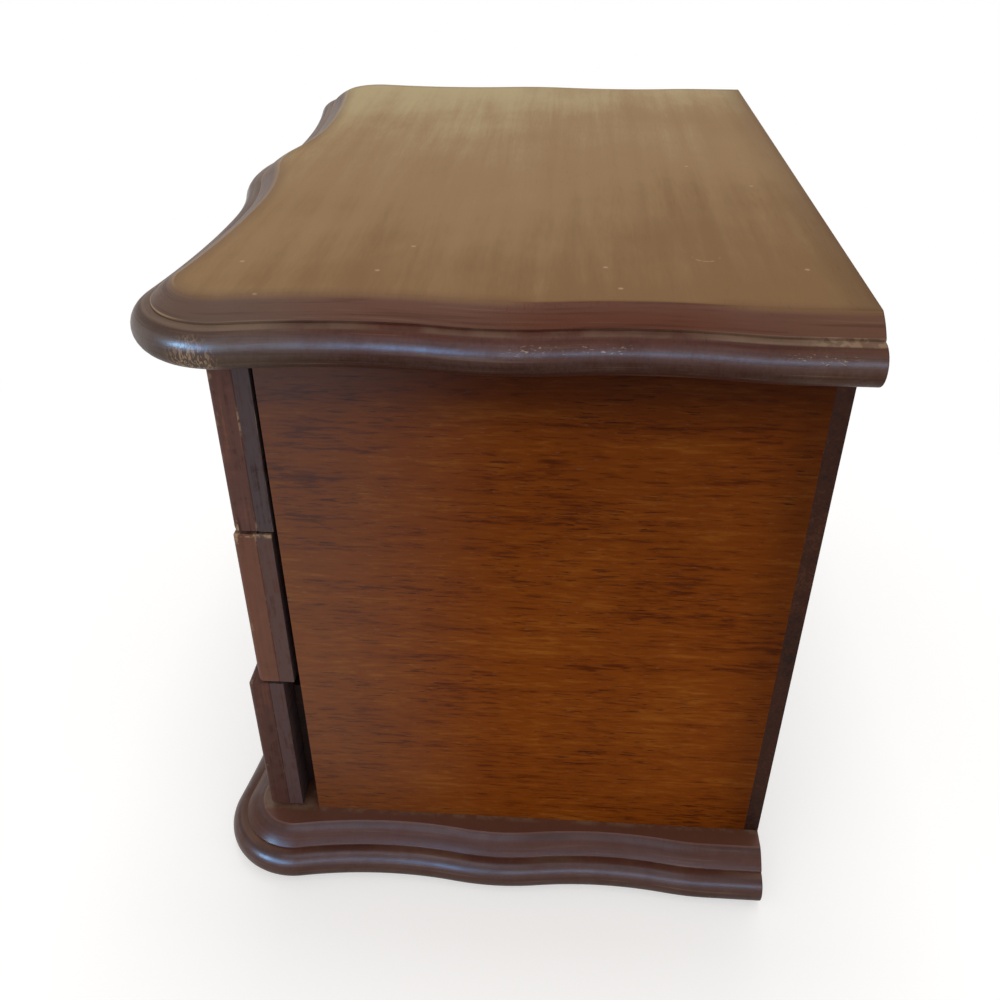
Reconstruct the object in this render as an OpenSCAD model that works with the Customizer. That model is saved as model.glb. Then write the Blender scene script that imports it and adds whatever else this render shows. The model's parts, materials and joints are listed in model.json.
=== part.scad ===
// Jewellery chest: three full-overlay drawers in a plain case,
// between a serpentine moulded top and a matching base.
// Front faces -Y, +Z is up, origin under the middle of the footprint.

/* [Case] */
// Width across the outer faces of the two side panels
case_w = 280; // [250:1:330]
// Depth from the front edge of the side panels to the back
case_d = 184; // [165:1:210]
// Height of the case between the base and the top
case_h = 214; // [190:1:250]
// Thickness of a side panel
side_t = 10; // [9:0.5:13]
// Thickness of the back panel, which laps the side panels
back_t = 5.7; // [4.5:0.1:8]
// Thickness of the shelf under a drawer
shelf_t = 6; // [4:0.5:8]
// How deep a shelf end is let into a side panel
dado = 3; // [2:0.5:4]

/* [Moulded boards] */
// Thickness of the top and of the base
board_t = 19; // [18:0.5:24]
// How far the nose stands past a side panel at a side crest
side_reach = 23; // [20:0.5:30]
// How far the nose of the top stands past the drawer faces
front_reach = 22; // [20:0.5:30]
// How much further than the top the base reaches at the front
base_extra = 4; // [0:0.5:8]
// Radius of the rounded front corners
corner_r = 30; // [28:0.5:36]
// How far a corner stands past a side crest
corner_out = 1; // [0.5:0.1:2]
// How far a corner stands back from the middle bulge
corner_back = 0.9; // [0:0.1:2]
// Radius of the bulge in the middle of the front
bulge_r = 75; // [60:1:110]
// Distance from the middle to the deepest point of a front hollow
hollow_x = 56; // [50:1:64]
// Depth of the front hollows
front_hollow = 7.3; // [5:0.1:9]
// Depth of the hollows along a side
side_hollow = 3; // [2:0.1:4]
// Radius of a crest along a side
crest_r = 120; // [80:1:140]
// Straight stretch of the side edge next to the back
end_run = 22; // [12:1:34]

/* [Edge moulding] */
// Radius of the half-round nose
nose_r = 6.5; // [4.5:0.1:7]
// Width of the flat ledge above the nose
ledge = 0.4; // [0.2:0.1:3]
// Height of the small step above the ledge
step_h = 0.7; // [0.4:0.1:2]
// Width of the shallow ovolo that falls from the flat to the step
ovolo_w = 8; // [4:0.1:9]
// How many degrees the ovolo turns between the flat and the step
ovolo_turn = 26; // [10:1:50]

/* [Drawer fronts] */
// Gap above, below and between the drawer fronts
front_gap = 1.4; // [0.8:0.1:3]
// Thickness of the outer face board
face_t = 8.5; // [6.5:0.1:10]
// Thickness of the backing board behind the face
backing_t = 5.5; // [4.5:0.1:8]
// Radius of the rounded front edges of a face board
arris_r = 2; // [1:0.1:3]
// Distance from a front's edge to the middle of its border groove
border_in = 5.2; // [4.6:0.1:12]
// Radius of the cutter of the border groove
border_r = 2.6; // [1.8:0.1:3]
// Depth of the border groove
border_depth = 1.3; // [0.6:0.1:1.6]
// Gap between a shut drawer front and the case
stop_gap = 0.3; // [0.2:0.1:1]

/* [Drawer boxes] */
// Thickness of the sides and the back of a drawer
box_t = 6; // [5:0.5:8]
// Height of a drawer side
box_h = 56; // [40:1:58]
// Thickness of a drawer bottom
bottom_t = 3; // [2:0.5:4]
// Depth of the grooves that hold the bottom and the back
groove = 2; // [1:0.5:2.5]
// Height of the bottom's groove above the lower edge of a side
bottom_up = 4; // [3:0.5:8]
// Distance from the rear end of a side to the drawer's back
back_in = 5; // [3:0.5:10]
// Running gap beside a drawer
side_play = 0.8; // [0.4:0.1:1.5]
// Running gap under a drawer
run_play = 0.3; // [0.2:0.1:0.6]
// Room behind a shut drawer
rear_room = 5; // [3:0.5:15]
// How far the bottom drawer stands out
bottom_out = 6.5; // [0:0.5:20]
// How far the middle drawer stands out
middle_out = 2; // [0:0.5:20]
// How far the top drawer stands out
top_out = 1; // [0:0.5:20]

/* [Linings] */
// Thickness of a floor pad at its rim
pad_rim = 2.4; // [2:0.1:4]
// How much higher a floor pad is in its middle
pad_crown = 1.6; // [0.5:0.1:3]
// How far a pad's sides draw in between its corners
pad_draw = 0.8; // [0:0.1:2]
// Room between a pad and the wood round it
pad_play = 0.3; // [0.2:0.1:1]
// Thickness of a divider
divider_t = 3; // [2:0.5:5]
// Height of a divider above the drawer bottom
divider_h = 30; // [20:1:40]
// Number of ring rolls
roll_count = 7; // [4:1:7]
// Diameter of a ring roll
roll_d = 21; // [16:0.5:22]
// Radius of the rounded end of a ring roll
roll_end = 6; // [3:0.5:7]
// Thickness of the board under the ring rolls
roll_base = 3; // [2:0.5:5]
// How deep a ring roll is seated in its board
roll_seat = 1.5; // [0.5:0.1:2]

/* [Knobs] */
// Distance from the middle of a front to a knob
knob_x = 70; // [40:1:100]
// How far a knob stands out
knob_len = 19; // [16:0.5:24]
// Diameter of a knob's head
knob_d = 19; // [15:0.5:22]
// Radius of the round rim of a knob's head
knob_rim = 3; // [2:0.1:3.5]
// How far the middle of a knob's face stands past its rim
knob_dome = 1.5; // [0.8:0.1:2.5]
// Diameter of a knob's foot
foot_d = 13; // [11:0.5:15]
// Thickness of a knob's foot
foot_t = 2.2; // [1.5:0.1:3]
// Diameter of a knob's neck at its narrowest
neck_d = 8; // [7:0.5:10]

/* [Fasteners] */
// Diameter of a knob screw
knob_screw_d = 3.5; // [3:0.1:4]
// Length of a knob screw inside the knob
knob_screw_in = 11; // [8:0.5:12]
// Diameter of a knob screw's pan head
pan_d = 8; // [7:0.5:10]
// Height of a knob screw's pan head
pan_h = 2.5; // [2:0.1:3.5]
// Diameter of a dowel under the top
dowel_d = 6; // [5:0.5:7]
// Length of a dowel inside the top
dowel_up = 11; // [8:0.5:12]
// Length of a dowel inside a side panel
dowel_down = 15; // [10:0.5:20]
// Diameter of a base screw
base_screw_d = 4; // [3:0.5:5]
// Diameter of a base screw's countersunk head
base_head_d = 8; // [7:0.5:9]
// Length of a base screw inside a side panel
base_screw_in = 20; // [12:1:30]
// Diameter of a back brad
brad_d = 1.8; // [1.4:0.1:2.4]
// Diameter of a back brad's flat head
brad_head_d = 3.6; // [3:0.1:5]
// Thickness of a back brad's head
brad_head_t = 0.8; // [0.5:0.1:1.2]
// Length of a back brad inside a side panel
brad_in = 14; // [8:1:20]
// Number of back brads along one side panel
brad_count = 4; // [3:1:6]
// Distance from a case edge to the nearest dowel, screw or brad
fix_in = 28; // [18:1:40]
// Room round a fastener in its hole
fix_play = 0.05; // [0.02:0.01:0.2]

/* [Hidden] */
$fn = 64;
drawers = 3;

// Levels and depths
top_z = board_t + case_h;
front_stack = stop_gap + backing_t + face_t;
total_d = case_d + front_stack + front_reach + base_extra;
back_y = total_d / 2;
case_y = back_y - case_d;
top_front_y = case_y - front_stack - front_reach;
base_front_y = top_front_y - base_extra;
panel_d = case_d - back_t;
bay_w = case_w - 2 * side_t;

// Drawer fronts and boxes
front_h = (case_h - (drawers + 1) * front_gap) / drawers;
pitch = front_h + front_gap;
floor_t = (shelf_t + front_gap) / 2;
box_up = floor_t - front_gap + run_play;
box_w = bay_w - 2 * side_play;
box_in_w = box_w - 2 * box_t;
box_d = panel_d + stop_gap - rear_room;
floor_up = box_up + bottom_up + bottom_t;
inside_d = box_d - back_in - box_t;
outs = [bottom_out, middle_out, top_out];

// Edge moulding: width of its cut, and height of its ovolo
edge_in = nose_r + ledge + ovolo_w;
ovolo_h = board_t - 2 * nose_r - step_h;

// Fineness of the moulded edge: steps round the nose and down the ovolo,
// and how far a chord of the outline may stray from its arc
nose_steps = 10;
ovolo_steps = 3;
chord_sag = 0.06;

// Cells along one side of a pad's upper face
pad_cells = 12;

// Compartments of the lined drawers
half_w = (box_in_w - divider_t) / 2;
third_w = (box_in_w - 2 * divider_t) / 3;
roll_pitch = (inside_d - 2 * pad_play) / roll_count;

wood = [0.36, 0.19, 0.10];
dark_wood = [0.27, 0.17, 0.15];
inner_wood = [0.62, 0.45, 0.28];
velvet = [0.32, 0.05, 0.08];
metal = [0.72, 0.66, 0.50];

// Direction in degrees from one point to another
function heading(from, to) = atan2(to[1] - from[1], to[0] - from[0]);

// The same direction counted from 0 to 360
function turned(a) = a < 0 ? a + 360 : a;

// Sum of the radii of a crest and a hollow that meet smoothly,
// from the run between them and the height of one over the other
function wave_sum(run, rise) = (run * run + rise * rise) / (2 * rise);

// Arcs of the right half of a moulded board's nose line, front middle to back.
// Each is [centre, radius, first angle, last angle, hollow].
function nose_arcs(front_y) =
  let (
    side_x = case_w / 2 + side_reach,
    corner = [side_x + corner_out - corner_r, front_y + corner_back + corner_r],
    run = (back_y - end_run - corner[1]) / 4,
    hollow_y = front_y + front_hollow,
    inner_r = wave_sum(hollow_x, front_hollow) - bulge_r,
    outer_r = wave_sum(corner[0] - hollow_x, front_hollow - corner_back) - corner_r,
    first_r = wave_sum(run, side_hollow + corner_out) - corner_r,
    wave_r = wave_sum(run, side_hollow) - crest_r,
    hollow_side_x = side_x - side_hollow,
    bulge = [0, front_y + bulge_r],
    inner = [hollow_x, hollow_y - inner_r],
    outer = [hollow_x, hollow_y - outer_r],
    first = [hollow_side_x + first_r, corner[1] + run],
    second = [hollow_side_x + wave_r, corner[1] + run],
    crest = [side_x - crest_r, corner[1] + 2 * run],
    third = [hollow_side_x + wave_r, corner[1] + 3 * run],
    last = [side_x - crest_r, corner[1] + 4 * run]
  ) [
    [bulge, bulge_r, -90, heading(bulge, inner), false],
    [inner, inner_r, 90, heading(inner, bulge), true],
    [outer, outer_r, heading(outer, corner), 90, true],
    [corner, corner_r, heading(corner, outer), heading(corner, first), false],
    [first, first_r, 180, turned(heading(first, corner)), true],
    [second, wave_r, turned(heading(second, crest)), 180, true],
    [crest, crest_r, heading(crest, second), heading(crest, third), false],
    [third, wave_r, turned(heading(third, last)), turned(heading(third, crest)), true],
    [last, crest_r, heading(last, third), 0, false]
  ];

// Ends of an arc in the order in which the nose line runs from front to back
function arc_ends(arc) = arc[4] ? [arc[3], arc[2]] : [arc[2], arc[3]];

// Number of chords along an arc
function arc_steps(arc) =
  ceil(abs(arc[3] - arc[2]) / (2 * acos(1 - chord_sag / arc[1])));

// Points along an arc, without its last one, each with its outward direction
function arc_points(arc) =
  let (ends = arc_ends(arc), n = arc_steps(arc))
  [for (k = [0 : n - 1])
    let (a = ends[0] + (ends[1] - ends[0]) * k / n, d = [cos(a), sin(a)])
    [arc[0] + arc[1] * d, arc[4] ? -d : d]];

// Nose line of the right half: the arcs, then a straight run to the back
function half_line(arcs) =
  let (end = arcs[len(arcs) - 1], x = end[0][0] + end[1])
  concat(
    [for (arc = arcs) each arc_points(arc)],
    [[[x, end[0][1]], [1, 0]], [[x, back_y], [1, 0]]]
  );

// Whole nose line, from the back left corner round the front to the back right
function nose_line(front_y) =
  let (half = half_line(nose_arcs(front_y)), n = len(half))
  concat(
    [for (k = [n - 1 : -1 : 1]) [for (v = half[k]) [-v[0], v[1]]]],
    half
  );

// Foot, radius and first direction of the ovolo in the section below
ovolo_foot = [edge_in - ovolo_w, board_t - ovolo_h];
ovolo_r = norm([ovolo_w, ovolo_h]) / (2 * sin(ovolo_turn / 2));
ovolo_lean = heading(ovolo_foot, [edge_in, board_t]) + ovolo_turn / 2;

// Section of the moulded edge from the underside to the flat: [inset, height]
edge_profile = concat(
  [for (k = [0 : nose_steps])
    let (t = 180 * k / nose_steps - 90)
    [nose_r - nose_r * cos(t), nose_r + nose_r * sin(t)]],
  [[nose_r + ledge, 2 * nose_r]],
  [for (k = [0 : ovolo_steps])
    let (t = ovolo_lean - ovolo_turn * k / ovolo_steps)
    ovolo_foot + ovolo_r * [sin(ovolo_lean) - sin(t), cos(t) - cos(ovolo_lean)]]
);

// A moulded board lying on z = 0, with its front bulge at front_y:
// the edge section swept along the nose line, closed by flat faces
module moulded_board(front_y) {
  line = nose_line(front_y);
  n = len(line);
  m = len(edge_profile);
  points = [
    for (p = line) for (e = edge_profile)
      concat(p[0] - e[0] * p[1], e[1])
  ];
  faces = concat(
    [for (i = [0 : n - 2]) for (j = [0 : m - 2])
      [i * m + j, i * m + j + 1, (i + 1) * m + j]],
    [for (i = [0 : n - 2]) for (j = [0 : m - 2])
      [(i + 1) * m + j, i * m + j + 1, (i + 1) * m + j + 1]],
    [[for (i = [n - 1 : -1 : 0]) i * m + m - 1]],
    [[for (i = [0 : n - 1]) i * m]],
    [concat([for (j = [0 : m - 1]) (n - 1) * m + j], [for (j = [m - 1 : -1 : 0]) j])]
  );
  polyhedron(points, faces);
}

// Puts children at the two fixing places along each side panel
module at_side_fixings() {
  for (s = [-1, 1])
    for (y = [case_y + fix_in, case_y + panel_d - fix_in])
      translate([s * (case_w - side_t) / 2, y, 0]) children();
}

// Puts children at the brad places down each rear edge, pointing into the case
module at_brads() {
  step = (case_h - 2 * fix_in) / (brad_count - 1);
  for (s = [-1, 1])
    for (i = [0 : brad_count - 1])
      translate([s * (case_w - side_t) / 2, back_y, board_t + fix_in + i * step])
        rotate([90, 0, 0])
          children();
}

// A dowel, from its lower end inside the side panel
module dowel(play) {
  translate([0, 0, top_z - dowel_down - play])
    cylinder(d = dowel_d + 2 * play, h = dowel_down + dowel_up + 2 * play);
}

// A countersunk screw driven up through the base
module base_screw(play) {
  head_h = (base_head_d - base_screw_d) / 2;
  cylinder(d1 = base_head_d + 2 * play, d2 = base_screw_d + 2 * play, h = head_h);
  cylinder(d = base_screw_d + 2 * play, h = board_t + base_screw_in + play);
}

// A brad, head at the back face
module brad(play) {
  cylinder(d = brad_head_d + 2 * play, h = brad_head_t);
  cylinder(d = brad_d + 2 * play, h = back_t + brad_in + play);
}

module top_board() {
  color(wood)
    difference() {
      translate([0, 0, top_z]) moulded_board(top_front_y);
      at_side_fixings() dowel(fix_play);
    }
}

module base_board() {
  color(dark_wood)
    difference() {
      moulded_board(base_front_y);
      at_side_fixings() base_screw(fix_play);
    }
}

// A side panel, with grooves for the shelves and holes for its fixings
module side_panel(s) {
  color(wood)
    difference() {
      translate([s > 0 ? case_w / 2 - side_t : -case_w / 2, case_y, board_t])
        cube([side_t, panel_d, case_h]);
      for (i = [1 : drawers - 1]) shelf(i);
      at_side_fixings() dowel(fix_play);
      at_side_fixings() base_screw(fix_play);
      at_brads() brad(fix_play);
    }
}

module back_panel() {
  color(dark_wood)
    difference() {
      translate([-case_w / 2, back_y - back_t, board_t]) cube([case_w, back_t, case_h]);
      at_brads() brad(fix_play);
    }
}

module floor_panel() {
  color(inner_wood)
    translate([-bay_w / 2, case_y, board_t]) cube([bay_w, panel_d, floor_t]);
}

// Shelf i, centred on the gap between two drawer fronts
module shelf(i) {
  color(inner_wood)
    translate([-bay_w / 2 - dado, case_y, board_t + i * pitch + front_gap / 2 - shelf_t / 2])
      cube([bay_w + 2 * dado, panel_d, shelf_t]);
}

module top_dowels() {
  color(inner_wood) at_side_fixings() dowel(0);
}

module base_screws() {
  color(metal) at_side_fixings() base_screw(0);
}

module back_brads() {
  color(metal) at_brads() brad(0);
}

// Puts children at drawer i: lower edge of its front at z = 0,
// rear face of its front at y = 0
module at_drawer(i) {
  translate([0, case_y - stop_gap - outs[i], board_t + front_gap + i * pitch]) children();
}

// Puts children at the knob places, pointing out of the front
module at_knobs(sides) {
  for (s = sides)
    translate([s * knob_x, -front_stack + stop_gap, front_h / 2]) rotate([90, 0, 0]) children();
}

// A board with its long front edges and corners rounded, front at y = 0
module eased_board(w, t, h, r) {
  translate([-w / 2, r, 0]) cube([w, t - r, h]);
  translate([-w / 2 + r, 0, r]) cube([w - 2 * r, t, h - 2 * r]);
  for (x = [-w / 2 + r, w / 2 - r])
    translate([x, r, r]) cylinder(r = r, h = h - 2 * r);
  for (z = [r, h - r])
    translate([-w / 2 + r, r, z]) rotate([0, 90, 0]) cylinder(r = r, h = w - 2 * r);
  for (x = [-w / 2 + r, w / 2 - r])
    for (z = [r, h - r])
      translate([x, r, z]) sphere(r = r);
}

// The border groove of a face board, front at y = 0
module border_groove(w, h) {
  lift = border_depth - border_r;
  x = w / 2 - border_in;
  for (s = [-1, 1])
    translate([s * x, lift, border_in]) cylinder(r = border_r, h = h - 2 * border_in);
  for (z = [border_in, h - border_in])
    translate([-x, lift, z]) rotate([0, 90, 0]) cylinder(r = border_r, h = 2 * x);
  for (s = [-1, 1])
    for (z = [border_in, h - border_in])
      translate([s * x, lift, z]) sphere(r = border_r);
}

module drawer_face(i) {
  color(dark_wood)
    at_drawer(i)
      difference() {
        translate([0, -backing_t - face_t, 0])
          difference() {
            eased_board(case_w, face_t, front_h, arris_r);
            border_groove(case_w, front_h);
          }
        at_knobs([-1, 1]) knob_screw(fix_play);
      }
}

module drawer_backing(i) {
  color(dark_wood)
    at_drawer(i)
      difference() {
        translate([-case_w / 2, -backing_t, 0]) cube([case_w, backing_t, front_h]);
        box_floor();
        at_knobs([-1, 1]) knob_screw(fix_play);
      }
}

// Drawer bottom, let into the sides and the backing and run under the back
module box_floor() {
  translate([-box_in_w / 2 - groove, -groove, box_up + bottom_up])
    cube([box_in_w + 2 * groove, box_d + groove, bottom_t]);
}

// Drawer back, standing on the bottom and let into the sides
module box_back() {
  translate([-box_in_w / 2 - groove, inside_d, floor_up])
    cube([box_in_w + 2 * groove, box_t, box_up + box_h - floor_up]);
}

module drawer_side(i, s) {
  color(inner_wood)
    at_drawer(i)
      difference() {
        translate([s > 0 ? box_w / 2 - box_t : -box_w / 2, 0, box_up]) cube([box_t, box_d, box_h]);
        box_floor();
        box_back();
      }
}

module drawer_back(i) {
  color(inner_wood) at_drawer(i) box_back();
}

module drawer_floor(i) {
  color(inner_wood) at_drawer(i) box_floor();
}

// Height of a pad's upper face at (u, v), each from -1 to 1
function pad_z(u, v) = pad_rim + pad_crown * (1 - pow(u, 4)) * (1 - pow(v, 4));

// A pad's outline draws in between its corners
function pad_xy(w, d, u, v) = [
  u * (w / 2 - pad_draw * (1 - v * v)),
  v * (d / 2 - pad_draw * (1 - u * u))
];

// A low velvet pad with a crown, centred on the origin
module pad(w, d) {
  n = pad_cells;
  row = n + 1;
  steps = [for (k = [0 : n]) -cos(180 * k / n)];
  ring = concat(
    [for (k = [0 : n - 1]) k],
    [for (k = [0 : n - 1]) n + k * row],
    [for (k = [0 : n - 1]) n * row + n - k],
    [for (k = [0 : n - 1]) (n - k) * row]
  );
  rim = len(ring);
  upper = [
    for (v = steps) for (u = steps)
      concat(pad_xy(w, d, u, v), pad_z(u, v))
  ];
  lower = [for (k = ring) [upper[k][0], upper[k][1], 0]];
  base = len(upper);
  faces = concat(
    [for (j = [0 : n - 1]) for (k = [0 : n - 1])
      [j * row + k, (j + 1) * row + k, j * row + k + 1]],
    [for (j = [0 : n - 1]) for (k = [0 : n - 1])
      [j * row + k + 1, (j + 1) * row + k, (j + 1) * row + k + 1]],
    [for (k = [0 : rim - 1]) [ring[k], ring[(k + 1) % rim], base + k]],
    [for (k = [0 : rim - 1]) [base + k, ring[(k + 1) % rim], base + (k + 1) % rim]],
    [[for (k = [0 : rim - 1]) base + k]]
  );
  polyhedron(concat(upper, lower), faces);
}

// Places children on the floor of drawer i, centred front to back
module on_floor(i, x) {
  at_drawer(i) translate([x, inside_d / 2, floor_up]) children();
}

module drawer_pad(i, x, w) {
  color(velvet) on_floor(i, x) pad(w - 2 * pad_play, inside_d - 2 * pad_play);
}

module drawer_middle_pads() {
  for (s = [-1, 0, 1]) drawer_pad(1, s * (third_w + divider_t), third_w);
}

// A divider from the backing to the drawer's back
module divider(i, x) {
  color(inner_wood)
    on_floor(i, x)
      translate([-divider_t / 2, -inside_d / 2, 0]) cube([divider_t, inside_d, divider_h]);
}

// One ring roll along X, with soft round ends
module ring_roll(length) {
  r = roll_d / 2;
  translate([-length / 2, 0, 0])
    rotate([0, 90, 0])
      rotate_extrude()
        intersection() {
          square([r, length]);
          union() {
            square([r - roll_end, length]);
            translate([0, roll_end]) square([r, length - 2 * roll_end]);
            for (y = [roll_end, length - roll_end])
              translate([r - roll_end, y]) circle(r = roll_end);
          }
        }
}

module drawer_top_ring_rolls() {
  w = half_w - 2 * pad_play;
  d = inside_d - 2 * pad_play;
  color(velvet)
    on_floor(2, -(half_w + divider_t) / 2) {
      translate([-w / 2, -d / 2, 0]) cube([w, d, roll_base]);
      for (k = [0 : roll_count - 1])
        translate([0, (k - (roll_count - 1) / 2) * roll_pitch, roll_base - roll_seat + roll_d / 2])
          ring_roll(w);
    }
}

// Half section of a turned knob: a foot, a coved neck, and a head
// whose domed face runs smoothly into its round rim
module knob_section() {
  neck_top = knob_len - knob_dome - 2 * knob_rim;
  cove_r = (neck_top - foot_t) / 2;
  rim_x = knob_d / 2 - knob_rim;
  rim_y = neck_top + knob_rim;
  drop = (rim_x * rim_x - knob_dome * knob_dome) / (2 * knob_dome);
  reach = knob_dome + drop;
  dome_r = reach + knob_rim;
  difference() {
    square([foot_d / 2, neck_top]);
    translate([neck_d / 2 + cove_r, foot_t + cove_r]) circle(r = cove_r);
  }
  translate([0, neck_top]) square([rim_x, knob_rim]);
  translate([rim_x, rim_y]) circle(r = knob_rim);
  intersection() {
    translate([0, rim_y - drop]) circle(r = dome_r);
    translate([0, rim_y]) square([rim_x * dome_r / reach, knob_dome + knob_rim]);
  }
}

// A knob, bored for its screw
module knob(i, s) {
  color(dark_wood)
    at_drawer(i)
      at_knobs([s])
        difference() {
          rotate_extrude() knob_section();
          knob_screw(fix_play);
        }
}

// A pan-head screw from inside the drawer, up through the front into the knob
module knob_screw(play) {
  head = backing_t + face_t + pan_h;
  translate([0, 0, -head]) cylinder(d = pan_d, h = pan_h);
  translate([0, 0, -head]) cylinder(d = knob_screw_d + 2 * play, h = head + knob_screw_in + play);
}

module knob_screws(i) {
  color(metal) at_drawer(i) at_knobs([-1, 1]) knob_screw(0);
}

top_board();
base_board();
side_panel(-1);  // side_panel_left
side_panel(1);  // side_panel_right
back_panel();
floor_panel();
shelf(1);  // shelf_lower
shelf(2);  // shelf_upper
top_dowels();
base_screws();
back_brads();
drawer_face(0);  // drawer_bottom_face
drawer_backing(0);  // drawer_bottom_backing
drawer_side(0, -1);  // drawer_bottom_side_left
drawer_side(0, 1);  // drawer_bottom_side_right
drawer_back(0);  // drawer_bottom_back
drawer_floor(0);  // drawer_bottom_floor
drawer_pad(0, 0, box_in_w);  // drawer_bottom_pad
knob(0, -1);  // drawer_bottom_knob_left
knob(0, 1);  // drawer_bottom_knob_right
knob_screws(0);  // drawer_bottom_knob_screws
drawer_face(1);  // drawer_middle_face
drawer_backing(1);  // drawer_middle_backing
drawer_side(1, -1);  // drawer_middle_side_left
drawer_side(1, 1);  // drawer_middle_side_right
drawer_back(1);  // drawer_middle_back
drawer_floor(1);  // drawer_middle_floor
drawer_middle_pads();
divider(1, -(third_w + divider_t) / 2);  // drawer_middle_divider_left
divider(1, (third_w + divider_t) / 2);  // drawer_middle_divider_right
knob(1, -1);  // drawer_middle_knob_left
knob(1, 1);  // drawer_middle_knob_right
knob_screws(1);  // drawer_middle_knob_screws
drawer_face(2);  // drawer_top_face
drawer_backing(2);  // drawer_top_backing
drawer_side(2, -1);  // drawer_top_side_left
drawer_side(2, 1);  // drawer_top_side_right
drawer_back(2);  // drawer_top_back
drawer_floor(2);  // drawer_top_floor
drawer_pad(2, (half_w + divider_t) / 2, half_w);  // drawer_top_pad
drawer_top_ring_rolls();
divider(2, 0);  // drawer_top_divider
knob(2, -1);  // drawer_top_knob_left
knob(2, 1);  // drawer_top_knob_right
knob_screws(2);  // drawer_top_knob_screws
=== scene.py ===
"""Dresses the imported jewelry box: moulded boards, eased woodwork, velvet linings, knobs and fasteners."""

import json
import math

import bmesh
import bpy
from bmesh.types import BMEdge, BMFace, BMVert
from bpy.props import FloatProperty, FloatVectorProperty, IntProperty, PointerProperty
from mathutils import Matrix, Vector, noise

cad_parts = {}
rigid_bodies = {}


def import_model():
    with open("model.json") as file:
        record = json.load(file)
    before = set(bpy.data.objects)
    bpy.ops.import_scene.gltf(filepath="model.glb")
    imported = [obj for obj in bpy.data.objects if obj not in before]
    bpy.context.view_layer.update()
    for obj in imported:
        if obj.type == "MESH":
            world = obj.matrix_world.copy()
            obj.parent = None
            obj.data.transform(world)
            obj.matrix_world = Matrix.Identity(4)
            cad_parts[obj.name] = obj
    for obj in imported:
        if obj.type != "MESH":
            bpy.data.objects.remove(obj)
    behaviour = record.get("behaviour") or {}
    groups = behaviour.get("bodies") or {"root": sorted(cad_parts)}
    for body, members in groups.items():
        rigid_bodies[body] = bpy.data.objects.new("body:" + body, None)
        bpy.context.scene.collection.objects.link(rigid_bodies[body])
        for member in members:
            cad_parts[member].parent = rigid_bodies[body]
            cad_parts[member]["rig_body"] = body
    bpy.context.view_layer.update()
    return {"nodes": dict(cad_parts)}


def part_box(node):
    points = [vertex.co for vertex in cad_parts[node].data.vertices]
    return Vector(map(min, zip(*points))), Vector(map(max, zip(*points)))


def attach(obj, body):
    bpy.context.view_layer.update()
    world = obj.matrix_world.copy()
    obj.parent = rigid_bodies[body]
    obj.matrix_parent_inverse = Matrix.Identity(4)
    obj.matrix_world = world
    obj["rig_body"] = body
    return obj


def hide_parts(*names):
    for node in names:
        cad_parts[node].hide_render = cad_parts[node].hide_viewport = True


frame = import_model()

bl_info = {
    "name": "Jewelry Box Dresser",
    "version": (1, 0, 0),
    "blender": (4, 5, 0),
    "location": "View3D > Sidebar > Jewelry Box",
    "description": "Builds the woodwork, linings, knobs and fasteners of a jewelry box with drawers",
    "category": "Object",
}

MM = 0.001
WELD = 1e-6
SHARP = math.radians(35)
MOULDING_CREASE = math.radians(14)

# Cosines above which a face belongs to a screw's flat head, or cuts across the grain
FACING = 0.9
CROSSING = 0.7

# Shares of a screw head's radius: the flat of a pan head, and the reach of the cross recess
PAN_FLAT = 0.72
DRIVE_REACH = 0.5

# Facets round a turned piece
KNOB_STEPS = 64
ROLL_STEPS = 40
SCREW_STEPS = 32
BRAD_STEPS = 20

X, Y, Z = range(3)
DRAWERS = ("drawer_bottom", "drawer_middle", "drawer_top")


def length(name, description, millimetres):
    """A size, written in millimetres."""
    return FloatProperty(
        name=name, description=description, default=millimetres * MM, min=0.0, precision=4, unit="LENGTH"
    )


def angle(name, description, radians):
    """A turn, written in radians."""
    return FloatProperty(name=name, description=description, default=radians, subtype="ANGLE")


def power(name, description, watts):
    """The power of a lamp, written in watts."""
    return FloatProperty(name=name, description=description, default=watts, min=0.0, unit="POWER")


def linear(value):
    """A screen value from 0 to 255 as linear light."""
    share = value / 255
    return share / 12.92 if share <= 0.04045 else ((share + 0.055) / 1.055) ** 2.4


def paint(name, description, *screen):
    """A colour, written as its red, green and blue on screen."""
    return FloatVectorProperty(
        name=name,
        description=description,
        default=[linear(value) for value in screen],
        size=3,
        min=0.0,
        max=1.0,
        subtype="COLOR",
    )


class MouldingSizes(bpy.types.PropertyGroup):
    """Outline and edge section of the two moulded boards."""

    corner_r: length("Corner radius", "Radius of the rounded front corners", 30)
    corner_out: length("Corner stand-out", "How far a corner stands past a side crest", 1)
    corner_back: length("Corner set-back", "How far a corner stands back from the bulge", 0.9)
    bulge_r: length("Bulge radius", "Radius of the bulge in the middle of the front", 75)
    hollow_x: length("Hollow place", "Distance from the middle to a front hollow", 56)
    front_hollow: length("Front hollow", "Depth of the front hollows", 7.3)
    side_hollow: length("Side hollow", "Depth of the hollows along a side", 3)
    crest_r: length("Crest radius", "Radius of a crest along a side", 120)
    end_run: length("End run", "Straight stretch of the side edge next to the back", 22)
    nose_r: length("Nose radius", "Radius of the half-round nose", 6.5)
    ledge: length("Ledge", "Width of the flat ledge above the nose", 0.4)
    step_h: length("Step", "Height of the small step above the ledge", 0.7)
    ovolo_w: length("Ovolo", "Width of the shallow ovolo between the step and the flat", 8)
    ovolo_turn: angle("Ovolo turn", "How far the ovolo turns between the step and the flat", math.radians(26))
    facet: length("Facet", "Longest facet along the edge", 2)
    flat_rim: length("Flat rim", "Width of the rubbed rim of the flat face", 4)
    back_ease: length("Back easing", "Easing of the square back edges", 0.4)


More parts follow.
